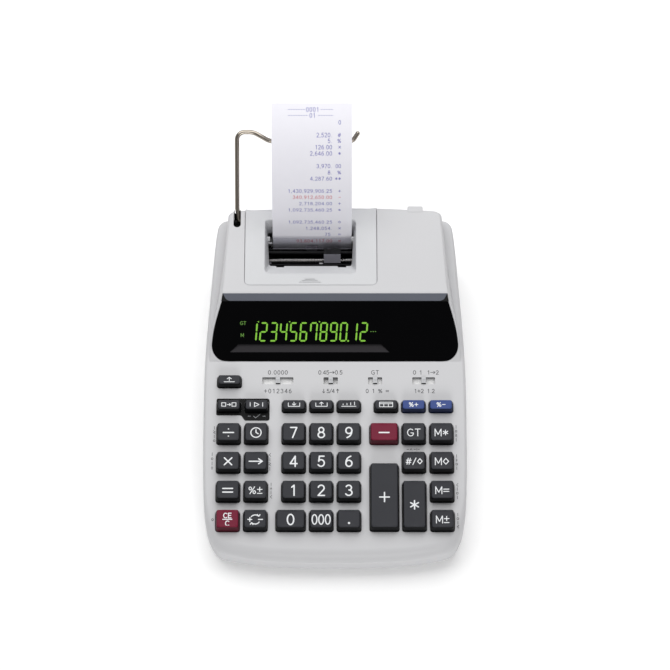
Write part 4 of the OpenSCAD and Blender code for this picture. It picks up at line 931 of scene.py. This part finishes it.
column(270.0, 452.5, 471, "<|z|"); column(271.2, 482, 498.5, "|+|<")
column(456.4, 425, 442, "|oz|"); column(457.0, 454, 470, "|+o|"); column(457.6, 482.5, 499, "<|o|"); column(458.2, 512, 528, "|o|<")
xa, ya = px(413, 449.4); mark([[(xa - 4.2, ya), (xa - 2.8, ya)], [(xa - 1.9, ya - .5), (xa - 1.2, ya + .6), (xa - .5, ya - .5)], [(xa + .6, ya), (xa + 2.0, ya)], [(xa + 2.8, ya - .6), (xa + 2.8, ya + .6)], [(xa + 3.6, ya), (xa + 4.6, ya)]], 0.36)
piece(g, "deck_marks", "case", "dark_plastic", [M_INK], angle=40, weight=False)
# black bezel round two function keys
bz = round_poly([(-83.6, 105.4), (-66.0, 105.4), (-63.4, 101.5), (-46.0, 101.5), (-46.0, 118.0), (-83.4, 118.0)], [1.2, 1.6, 1.6, 1.6, 1.8, 1.2], 0.4)
bezel = unit_mesh(Geo().loft(slab([Vector(p) for p in bz], deck, -0.2, 0.35, 0.2, 2)), "bezel_plate", [M_BLACKSATIN])
g = Geo()
for k in ("mode", "start"):
    x, y, w, d, h = KEYS[k]; o = rrect(w + 0.9, d + 0.9, 1.6)
    g.loft([[on_deck(x, y, p.x, p.y, n) for p in o] for n in (-2, 3)])
bezel = boolean(bezel, cutter(g, mats=(M_BLACKSATIN,)))
finish_piece(bezel, "case", "dark_plastic", angle=30)
g = Geo()
def on_bezel(x, y, n): return deck(x, y, 0.35 + n)
add_flat(g, stroke_polys([[(-57.2, 104.6), (-55.8, 103.4), (-52.8, 106.0)], [(-61.2, 104.7), (-59.4, 104.7)], [(-50.8, 104.7), (-49.0, 104.7)]], 0.42), on_bezel, -0.04, 0.02)
piece(g, "bezel_tick", "case", "dark_plastic", [M_TICK], angle=40, weight=False)

# ---------------------------------------------------------------- printer cover
def rear_y(x): return 255.9 - 0.35 * (x / 30) ** 2 if abs(x) < 30 else 255.55 - (abs(x) - 30) * 0.043
cv = [Vector(p) for p in round_poly([(-64, 192.8), (29.6, 192.8)], 0)] if False else None
pts = [(-64.2, 192.62), (29.8, 192.62)] + [(29.8 - 94.0 * i / 16, rear_y(29.8 - 94.0 * i / 16)) for i in range(17)]
cvo = [Vector(p) for p in round_poly(pts, [3.5, 3.5] + [0.0] * 17, 0.5)]
nr = inward(cvo)
def soft(p): return 0.55 + 1.9 * soft_step(p.y, 248, 253)
rings = []
rings.append([(p.x, p.y, ptop(p.y) - 2.2) for p in cvo])
for k in range(5):
    t = k / 4 * pi / 2
    rings.append([(p.x + q.x * min(soft(p), 0.55 if abs(q.x) > 0.5 else 9) * (1 - cos(t)), p.y + q.y * soft(p) * (1 - cos(t)),
                   ptop(p.y + q.y * soft(p) * (1 - cos(t))) - (soft(p)) * (1 - sin(t))) for p, q in zip(cvo, nr)])
cover = unit_mesh(Geo().loft(rings), "cover_lid", [M_COVER_LIT, M_INNER_SHADE])
W0, W1 = -49.6, 14.6
fun = Geo().prism_x(W0 - 1.8, W1 + 1.8, [(200, ptop(200) - 1.1), (246.8, ptop(246.8) - 1.1), (246.8, 51.5), (232, 57.2), (213, 58.4), (200, 65.9)])
cover = boolean(cover, unit_mesh(fun, "funnel", [M_COVER_LIT, M_INNER_SHADE]), "UNION")
A = round_poly([(W0, 202.4), (W1, 202.4), (W1, 245), (W0, 245)], [2.6, 2.6, 1.2, 1.2], 0.5)
B_ = round_poly([(W0 + 2.7, 213), (W1 - 2.7, 213), (W1 - 1.2, 245), (W0 + 1.2, 245)], [1.6, 1.6, 1.0, 1.0], 0.5)
def resample(o, n=96):
    o = [Vector(p) for p in o]; L = [0]
    for a, b in zip(o, o[1:] + o[:1]): L.append(L[-1] + (b - a).length)
    out = []; j = 0
    for i in range(n):
        t = L[-1] * i / n
        while L[j + 1] < t: j += 1
        a, b = o[j], o[(j + 1) % len(o)]; out.append(a.lerp(b, (t - L[j]) / max(1e-9, L[j + 1] - L[j])))
    return out
def four(o, n=26):
    """Gives the outline back as points, as it is; the points per side are not evened out."""
    o = [Vector(p) for p in o]; c = Vector((sum(p.x for p in o) / len(o), sum(p.y for p in o) / len(o)))
    return o
ra, rb = four(A), four(B_)
if len(ra) != len(rb):
    ra, rb = resample(A), resample(B_)
An = inward(ra)
win = Geo().loft([[(p.x, p.y, 40) for p in rb], [(p.x, p.y, 59.2 + 8.3 * soft_step(p.y, 213, 245) * 0.0) for p in rb],
                  [(p.x, p.y, ptop(p.y) - 1.0) for p in ra], [(p.x - q.x * 0.18, p.y - q.y * 0.18, ptop(p.y) - 0.4) for p, q in zip(ra, An)],
                  [(p.x - q.x * 0.7, p.y - q.y * 0.7, ptop(p.y) + 0.05) for p, q in zip(ra, An)], [(p.x - q.x * 0.7, p.y - q.y * 0.7, 95) for p, q in zip(ra, An)]])
cover = boolean(cover, cutter(win, mats=(M_COVER_LIT, M_INNER_SHADE)))
g = Geo()
for a, b in ((-41.9, -36.2), (2.0, 8.0)): g.box((a, b), (211.2, 215), (50, 60.4), 1)
cover = boolean(cover, cutter(g, mats=(M_COVER_LIT, M_INNER_SHADE)))
g = Geo()
for i, wd in enumerate((15.5, 11.6, 7.4)):
    def put(x, y, n, i=i): yy = 194.9 + 1.25 * i + y; return (-17.75 + x, yy, ptop(yy) + n)
    g.loft(slab([Vector(p) for p in rrect(wd, 0.75, 0.36, 0.2)], put, -0.3, 0.42, 0.3, 3))
cover = boolean(cover, unit_mesh(g, "ridges", [M_COVER_LIT, M_INNER_SHADE]), "UNION")
finish_piece(cover, "printer_cover", "case_grey", ("printer_cover",), angle=28, level=True)

# tear bar with its fine teeth
g = Geo()
tx0, tx1 = -46.4, 11.4; nteeth = 44
rings = []
steps = nteeth * 2
for i in range(steps + 1):
    x = tx0 + (tx1 - tx0) * i / steps; t = 0.45 if i % 2 else 0.0
    rings.append([(x, 230.2, 54.2), (x, 231.4, 53.4), (x, 235.7, 60.1), (x, 235.9 - t * .54, 60.55 - t * .84), (x, 234.85 - t * .54, 60.95 - t * .84)])
g.loft(rings)
piece(g, "tear_blade", "printer_cover", "smoked_clear", [M_SMOKE], ("tear_bar",), angle=30)
g = Geo()
for a, b in ((-48.9, -46.5), (11.5, 13.9)):
    g.prism_x(a, b, [(233.6, 59.0), (234.9, 58.2), (236.4, 60.2), (236.4, 61.4), (234.8, 61.8)])
piece(g, "blade_clips", "printer_cover", "case_grey", [M_COVER_LIT], angle=30, bevel=0.25)

# ---------------------------------------------------------------- paper
exit_p = Vector((237, 59)); ea = radians(79)
d_ = Vector((cos(ea), sin(ea)))
send = exit_p + d_ * 35
cc = send + Vector((sin(ea), -cos(ea))) * 92
arm_y, arm_z, arm_a = 248, 63.5, radians(38)
def arm_pt(x, t): return Vector((x, arm_y + t * cos(arm_a), arm_z + t * sin(arm_a)))
rp = arm_pt(0, 57.3); ROLL = Vector((rp.y, rp.z - (6 - 1.65 - 0.12)))
inlet = Vector((256.5, 58.6))
v = ROLL - inlet; dist = v.length; aa = atan2(v.y, v.x); hh = asin((25 + 0.15 + 0.35) / dist); ll = dist * cos(hh)
tang = inlet + Vector((cos(aa - hh), sin(aa - hh))) * ll
pr = 5.4
path = [inlet, Vector((252.6, 57)), Vector((249.8, 54.2))] + [Vector((240.3 + pr * cos(radians(-25 - i * 163.5 / 12)), 45 + pr * sin(radians(-25 - i * 163.5 / 12)))) for i in range(13)]
start_s = None
path += [exit_p]
n_exit = len(path) - 1
path += [exit_p.lerp(send, i / 8) for i in range(1, 9)]
path += [cc + Vector((cos(radians(90 + 79 - 49 * i / 24)), sin(radians(90 + 79 - 49 * i / 24)))) * 92 for i in range(1, 25)]


def strip(path, x0, x1, t, nx=8, curl=None):
    """Thin closed sheet along a path in the Y-Z plane."""
    geo = Geo(); rings = []
    n = len(path)
    for i, p in enumerate(path):
        a = path[max(i - 1, 0)]; b = path[min(i + 1, n - 1)]; tt = (b - a).normalized(); nn = Vector((-tt.y, tt.x))
        c = curl(i) if curl else 0.0
        ring = []
        for j in range(nx + 1):
            x = x0 + (x1 - x0) * j / nx; u = (2 * j / nx - 1); q = p + nn * (t / 2 + c * (u * u))
            ring.append((x, q.x, q.y))
        for j in range(nx, -1, -1):
            x = x0 + (x1 - x0) * j / nx; u = (2 * j / nx - 1); q = p + nn * (-t / 2 + c * (u * u))
            ring.append((x, q.x, q.y))
        rings.append(ring)
    return geo.loft(rings)


PX0, PX1 = PAPER_X - 28.25, PAPER_X + 28.25
g = strip(path, PX0, PX1, 0.14)
piece(g, "printed_strip", "case", "paper_white", [M_PAPER], ("paper_strip",), angle=60, weight=False)


def along(s):
    """Point and outward normal (towards the front) on the paper, s mm past the exit."""
    if s < 35: p = exit_p + d_ * s; t = d_
    else:
        a = radians(90 + 79) - (s - 35) / 92; p = cc + Vector((cos(a), sin(a))) * 92; t = Vector((sin(a), -cos(a)))
    return p, Vector((-t.y, t.x))


def on_paper(x, s, n):
    p, nn = along(s); q = p + nn * (0.07 + n); return (x, q.x, q.y)


def s_at(y_px):
    """How far up the paper a line seen at that row lies."""
    lo, hi = -12.0, 112.0
    for _ in range(30):
        m = (lo + hi) / 2; p, _n = along(m) if m >= 0 else (exit_p + d_ * m, None)
        yp = p.x - 127; v = 0.866 * yp + 0.5 * p.y; c = -0.5 * yp + 0.866 * p.y
        if 413.5 - v * 3496 / (2500 - c) > y_px: lo = m
        else: hi = m
    return lo


LINES = [  # row, figures, signs, red
    (242.7, "93,604,117.00", "=", True), (236.0, "75.", "=", False), (229.8, "1,248,054.", "x", False), (223.4, "1,092,735,460.25", "d", False),
    (211.0, "1,092,735,460.25", "*", False), (204.5, "2,718,204.00", "+", False), (198.0, "340,912,650.00", "-", True), (191.7, "1,430,929,906.25", "+", False),
    (179.1, "4,287.60", "**", False), (172.9, "8.", "%", False), (166.4, "3,970.", "00", False), (153.6, "2,646.00", "*", False), (147.3, "126.00", "x", False),
    (141.0, "5.", "%", False), (135.1, "2,520.", "#", False), (122.4, "", "0", False),
]
g = Geo()
for row, fig, sign, red in LINES:
    m = 1 if red else 0; s = s_at(row); right = (332.0 - 335.2) / 1.435
    if fig: add_flat(g, stroke_polys(lay_text(fig, right, s, 2.9, gap=.24, align="r", wide=.88), 0.34), on_paper, -0.03, 0.02, m)
    add_flat(g, stroke_polys(lay_text(sign, 5.6 if False else (341.0 - 335.2) / 1.435, s, 2.7, align="r", wide=.9), 0.34), on_paper, -0.03, 0.02, m)
for row, mid in ((109.5, "0001"), (115.4, "01")):
    s = s_at(row); x0 = (289.0 - 335.2) / 1.435; x1 = (332.0 - 335.2) / 1.435; w = len(mid) * 2.1 + 1.5; c = (x0 + x1) / 2 + 1.5
    add_flat(g, stroke_polys(lay_text(mid, c, s, 2.9, gap=.3, wide=.88), 0.34), on_paper, -0.03, 0.02, 0)
    n = int((x1 - x0) / 1.75)
    for k in range(n + 1):
        x = x0 + (x1 - x0) * k / n
        if abs(x - c) > w / 2 + 0.4: add_flat(g, stroke_polys([[(x - .35, s), (x + .35, s)]], 0.36), on_paper, -0.03, 0.02, 0)
piece(g, "printed_figures", "case", "paper_white", [M_BLUEINK, M_REDINK], angle=50, weight=False)

# the tail from the roll down to the inlet
tail = [inlet.lerp(tang, i / 14) for i in range(15)]
g = strip(tail, PX0 + 0.25, PX1 - 0.25, 0.14)
def W(x, y, z): return (x * MM, (y - Y0) * MM, z * MM)
piece(g, "paper_tail", "case", "paper_white", [M_PAPER], angle=60, weight=False,
      blend=("case", "paper_arm", W(0, inlet.x, inlet.y), W(0, tang.x, tang.y)))

# roll: a wound edge, one turn standing a little proud here and there
g = Geo()
R0 = 25.0; x0, x1 = PAPER_X - 28, PAPER_X + 28
prof = [(x0 + 0.35, 6.0)]
k = 26
for i in range(k):
    r = 6.6 + (R0 - 6.9) * i / (k - 1); dx = 0.10 * sin(i * 2.4) + 0.06 * sin(i * 5.1)
    prof += [(x0 + 0.28 + dx, r), (x0 + 0.28 + dx, r + (R0 - 6.9) / k * 0.78), (x0 + 0.40, r + (R0 - 6.9) / k * 0.84)]
prof += [(x0 + 0.3, R0 - 0.05), (x0 + 0.45, R0)]
left = prof
rightp = [(x0 + x1 - a, r) for a, r in reversed(prof)]
rg = []
n = 72
allp = left + [(x0 + 14, R0), (x0 + 28, R0), (x0 + 42, R0)] + rightp
for x, r in allp: rg.append([(x, ROLL.x + r * cos(2 * pi * j / n), ROLL.y + r * sin(2 * pi * j / n)) for j in range(n)])
g.loft(rg, 0, False, False, wrap=True)
roll = unit_mesh(g, "wound_roll", [M_EDGE, M_PAPER])
for f in roll.data.polygons:
    if abs(f.normal.x) < 0.3 and (Vector((f.center.y, f.center.z)) - ROLL).length > R0 - 0.6: f.material_index = 1
finish_piece(roll, "paper_roll", "paper_white", ("paper_roll",), angle=30)
g = Geo()
g.loft([[(x, ROLL.x + r * cos(2 * pi * j / 48), ROLL.y + r * sin(2 * pi * j / 48)) for j in range(48)] for x, r in
        ((x0 + 0.1, 6.0), (x0 + 0.0, 6.4), (x0 + 0.0, 6.75), (x0 + 0.4, 6.9), (x1 - 0.4, 6.9), (x1, 6.75), (x1, 6.4), (x1 - 0.1, 6.0))], 0, False, False, wrap=True)
piece(g, "roll_core", "paper_roll", "paper_white", [M_CARD], angle=30)

# ---------------------------------------------------------------- wire arm
route = [(-70, -0.3), (-70, 63.9), (-58.3, 63.9), (-46.5, 57.3), (12.6, 57.3), (16.2, 63.0)]
def rounded_route(p, rs, k):
    P = [Vector(q) for q in p]; out = [P[0]]
    for i in range(1, len(P) - 1):
        u = (P[i - 1] - P[i]).normalized(); v2 = (P[i + 1] - P[i]).normalized(); half = u.angle(v2) / 2
        r = rs[i - 1] if isinstance(rs, list) else rs
        l = r / tan(half); m = (u + v2).normalized(); c = P[i] + m * r / sin(half); a = P[i] + u * l - c; b = P[i] + v2 * l - c
        th = a.angle(b)
        for j in range(k + 1):
            d = (a * sin(th * (1 - j / k)) + b * sin(th * j / k)) / sin(th); out.append(c + d)
    out.append(P[-1]); return out
full = [Vector((-58.4, 0)), Vector((-70, 0))] + [Vector(p) for p in route[1:]]
rt = rounded_route([tuple(p) for p in full][:2] + route[1:], 4.0, 12)
# sharp bend at the pivot, softened to 2.4 mm
rt = rounded_route([(-58.4, 0), (-69.2, 0), (-69.2, 5.2), (-70, 9.0), (-70, 30)], 2.2, 8)[:-1] + [Vector((-70, 12 + 5.5 * i)) for i in range(0, 8)] + rounded_route(route, [5.4, 12.0, 12.0, 5.0], 14)[1:]
pts3 = [arm_pt(p.x, p.y) for p in rt]
rad_ = 1.65; ns = 24; rings = []
axn = Vector((0, -sin(arm_a), cos(arm_a)))
for i, p in enumerate(pts3):
    t = (pts3[min(i + 1, len(pts3) - 1)] - pts3[max(i - 1, 0)]).normalized(); s1 = t.cross(axn).normalized(); s2 = s1.cross(t)
    rings.append([tuple(p + s1 * rad_ * cos(2 * pi * j / ns) + s2 * rad_ * sin(2 * pi * j / ns)) for j in range(ns)])
def endcap(p, t, ring_out):
    s1 = t.cross(axn).normalized(); s2 = s1.cross(t)
    return [[tuple(p + t * rad_ * sin(radians(e)) + (s1 * cos(2 * pi * j / ns) + s2 * sin(2 * pi * j / ns)) * rad_ * cos(radians(e))) for j in range(ns)] for e in (25, 50, 72, 86)]
tl = (pts3[-1] - pts3[-2]).normalized()
rings += endcap(pts3[-1], tl, rings[-1])
piece(Geo().loft(rings), "wire_loop", "paper_arm", "chrome_wire", [M_CHROME], ("paper_arm",), angle=60, weight=False)

# ---------------------------------------------------------------- printer inside
g = Geo(); xa, xb = -53.6, 21.6; n = 24; rings = []
steps = 560
for i in range(steps + 1):
    x = xa + (xb - xa) * i / steps; rr = []
    for j in range(n):
        ph = 2 * pi * j / n; w_ = ((4 * ph - 2 * pi * 4 * x / 8.0) / (2 * pi)) % 1.0
        rr.append((x, 223 + (1.68 - 0.5 * max(0, 1 - abs(w_ - 0.5) / 0.24)) * cos(ph), 50 + (1.68 - 0.5 * max(0, 1 - abs(w_ - 0.5) / 0.24)) * sin(ph)))
    rings.append(rr)
g.loft(rings)
g.lathe_x([(-58, 0.8), (-57.6, 1.15), (-53.5, 1.15)], 223, 50, 0, 24)
g.lathe_x([(21.5, 1.15), (29.6, 1.15), (30, 0.8)], 223, 50, 0, 24)


def gear(geo, x0, x1, yc, zc, r, teeth, mat):
    o = []
    for i in range(teeth):
        a = 2 * pi * i / teeth; s = 2 * pi / teeth
        for da, rr in ((-.32, r - .95), (-.18, r), (.18, r), (.32, r - .95)): o.append((yc + rr * cos(a + da * s), zc + rr * sin(a + da * s)))
    geo.prism_x(x0, x1, o, mat)


gear(g, 24.6, 28.6, 223, 50, 5.5, 22, 1)
piece(g, "helix_screw", "drive_screw", "bright_steel", [M_SCREW_SHADED, M_PALE], ("drive_screw",), angle=40)
g = Geo()
g.lathe_x([(-45.3, 4.2), (-45.3, 4.7), (-45.0, 5.0), (12.4, 5.0), (12.7, 4.7), (12.7, 4.2)], 240.3, 45, 0, 48)
g.lathe_x([(-59, 1.5), (-58.5, 2.0), (-45.2, 2.0)], 240.3, 45, 1, 28).lathe_x([(12.6, 2.0), (29.5, 2.0), (30, 1.5)], 240.3, 45, 1, 28)
gear(g, 24.6, 28.6, 240.3, 45, 6.5, 26, 2)
piece(g, "platen_drum", "platen_roller", "black_rubber", [M_RUBBER, M_STEEL, M_PALE], ("platen_roller",), angle=35)
# carriage: moulded body, belt wheel with type ribs
x0, x1 = -8.0, 4.0
g = Geo()
g.prism_x(x0, x1, [(218.6, 47.8), (226, 46.8), (227.6, 50), (229.2, 52.6), (228.9, 57.4), (224, 57.4), (219, 53.6)], 0)
car = unit_mesh(g, "carriage_body", [M_GREY_AND_LIT, M_DARK_AND_SHADE])
for (a, b) in ((x0, x0 + 1.2), (x1 - 1.2, x1)):
    car = boolean(car, unit_mesh(Geo().prism_x(a, b, [(220, 48.2), (226.6, 50), (229, 50), (231.5, 46), (225, 41), (220, 41)], 1), "ear", [M_GREY_AND_LIT, M_DARK_AND_SHADE]), "UNION")
for (ya, za, r_) in ((223, 50, 1.85), (226.8, 55, 1.26), (222.5, 43, 1.06)):
    car = boolean(car, unit_mesh(Geo().lathe_x([(-80, r_), (80, r_)], ya, za, 1, 32), "bore", [M_GREY_AND_LIT, M_DARK_AND_SHADE]))
car = boolean(car, unit_mesh(Geo().lathe_x([(x0 + 1.2, 4.25), (x1 - 1.2, 4.25)], 222.5, 43, 1, 40), "room", [M_GREY_AND_LIT, M_DARK_AND_SHADE]))
car = boolean(car, unit_mesh(Geo().box((-5.6, -3.0), (224.8, 229), (56.4, 60), 1), "dent", [M_GREY_AND_LIT, M_DARK_AND_SHADE]))
# faces turned up and forward high on the carriage take the lighter grey: painted light on its top, the rest dark
for f in car.data.polygons:
    f.material_index = 0 if (f.normal.z > 0.5 and f.normal.y < -0.3 and f.center.z > 52) else 1
finish_piece(car, "print_carriage", "dark_plastic", ("print_carriage",), angle=30, bevel=0.22)
g = Geo(); rings = []
for i in range(21):
    x = -7 + 10 * i / 20; rr = []
    for j in range(48):
        ph = 2 * pi * j / 48; bumpy = 0.28 if (i % 2 == 1 and j % 4 in (0, 1)) else 0.0
        rr.append((x, 230.5 + (3.72 + bumpy) * cos(ph), 46 + (3.72 + bumpy) * sin(ph)))
    rings.append(rr)
g.loft(rings)
piece(g, "type_wheel", "print_carriage", "black_rubber", [M_RUBBER], angle=30)
g = Geo().lathe_x([(-6.4, 3.3), (-6.2, 3.8), (-5.9, 3.9), (1.9, 3.9), (2.2, 3.8), (2.4, 3.3)], 222.5, 43, 0, 40)
g.lathe_x([(-8.4, 0.8), (-8.2, 1.0), (-6.3, 1.0)], 222.5, 43, 1, 20).lathe_x([(2.3, 1.0), (4.2, 1.0), (4.4, 0.8)], 222.5, 43, 1, 20)
piece(g, "ink_felt_roller", "ink_roller", "ink_sponge", [M_SPONGE, M_STEEL], ("ink_roller",), angle=35)
# fixed details in the bay
g = Geo()
g.prism_x(-53.8, 21.8, [(216.2, 40), (217.6, 40), (217.6, 54.6), (216.2, 55.4)], 0)
g.prism_x(-53.8, 21.8, [(233.6, 40), (234.6, 40), (233.2, 49.6), (232.2, 49.6)], 0)
g.prism_x(-20.5, -12.8, [(231.0, 50.6), (233.4, 50.6), (233.8, 53.0), (231.2, 53.0)], 1)
g.prism_x(-11.2, -8.8, [(217.7, 50), (219.4, 50), (219.4, 53.4), (217.7, 54.2)], 2)
g.prism_x(13.0, 17.6, [(217.7, 50), (220.0, 50), (220.0, 54.0), (217.7, 54.8)], 2)
g.prism_x(-50.5, -45.5, [(217.7, 49), (220.2, 49), (220.2, 52.4), (217.7, 53.6)], 1)
piece(g, "bay_details", "case", "dark_plastic", [M_DARK_AND_SHADE, M_GREY_AND_LIT, M_PALE], angle=30, bevel=0.2)

# ---------------------------------------------------------------- CAD nodes that stay, with their finishes
def dress(node, mat, bevel=0.0):
    ob = frame["nodes"][node]
    ob.data.materials.clear(); ob.data.materials.append(mat)
    for p in ob.data.polygons: p.material_index = 0
    if bevel:
        w = ob.modifiers.new("weld", "WELD"); w.merge_threshold = 1e-6
        b = ob.modifiers.new("edge", "BEVEL"); b.width = bevel * MM; b.segments = 2; b.limit_method = "ANGLE"; b.angle_limit = radians(40)


dress("printer_frame", M_DARK_AND_SHADE); dress("printer_motor", M_MOTOR); dress("circuit_board", M_BOARD)
dress("key_membrane", M_DOME); dress("display_tube", M_TUBE)

# ---------------------------------------------------------------- floor, light and camera
def plane(name, size, z, mat):
    me = bpy.data.meshes.new(name); s = size / 2
    me.from_pydata([(-s, -s, z), (s, -s, z), (s, s, z), (-s, s, z)], [], [(0, 1, 2, 3)])
    me.materials.append(mat); ob = bpy.data.objects.new(name, me); scene.collection.objects.link(ob); return ob


M_FLOOR = shade("floor_pale", (0.95, 0.95, 0.95), 0.8, glow=0.14, vary=0.005, vary_mm=200, rough_vary=0.02, grain_mm=20)
plane("floor", 8.0, -0.0003, M_FLOOR)
world = bpy.data.worlds.new("studio"); scene.world = world; world.use_nodes = True
bg = world.node_tree.nodes["Background"]; bg.inputs["Color"].default_value = (1, 1, 1, 1); bg.inputs["Strength"].default_value = 0.28


def area(name, loc, target, size, power, colour=(1, 1, 1)):
    l = bpy.data.lights.new(name, "AREA"); l.shape = "RECTANGLE"; l.size, l.size_y = size; l.energy = power; l.color = colour
    ob = bpy.data.objects.new(name, l); scene.collection.objects.link(ob); ob.location = loc
    ob.rotation_euler = (Vector(target) - Vector(loc)).to_track_quat("-Z", "Y").to_euler(); return ob


area("overhead", (-0.08, 0.5, 1.0), (0, 0.02, 0.03), (1.6, 1.1), 14.2)
area("front_low", (0.15, -1.6, 0.62), (0, 0, 0.03), (0.9, 0.6), 9.8)
cam = bpy.data.cameras.new("view"); cam.lens = 187.9; cam.sensor_width = 36; cam.clip_start = 0.05; cam.clip_end = 50
co = bpy.data.objects.new("view", cam); scene.collection.objects.link(co)
co.location = (0, -1.2344, 2.1925)
co.rotation_euler = (Vector((0, 0.0156, 0.0275)) - co.location).to_track_quat("-Z", "Y").to_euler()
scene.camera = co
scene.view_settings.view_transform = "Standard"

bpy.context.view_layer.update()
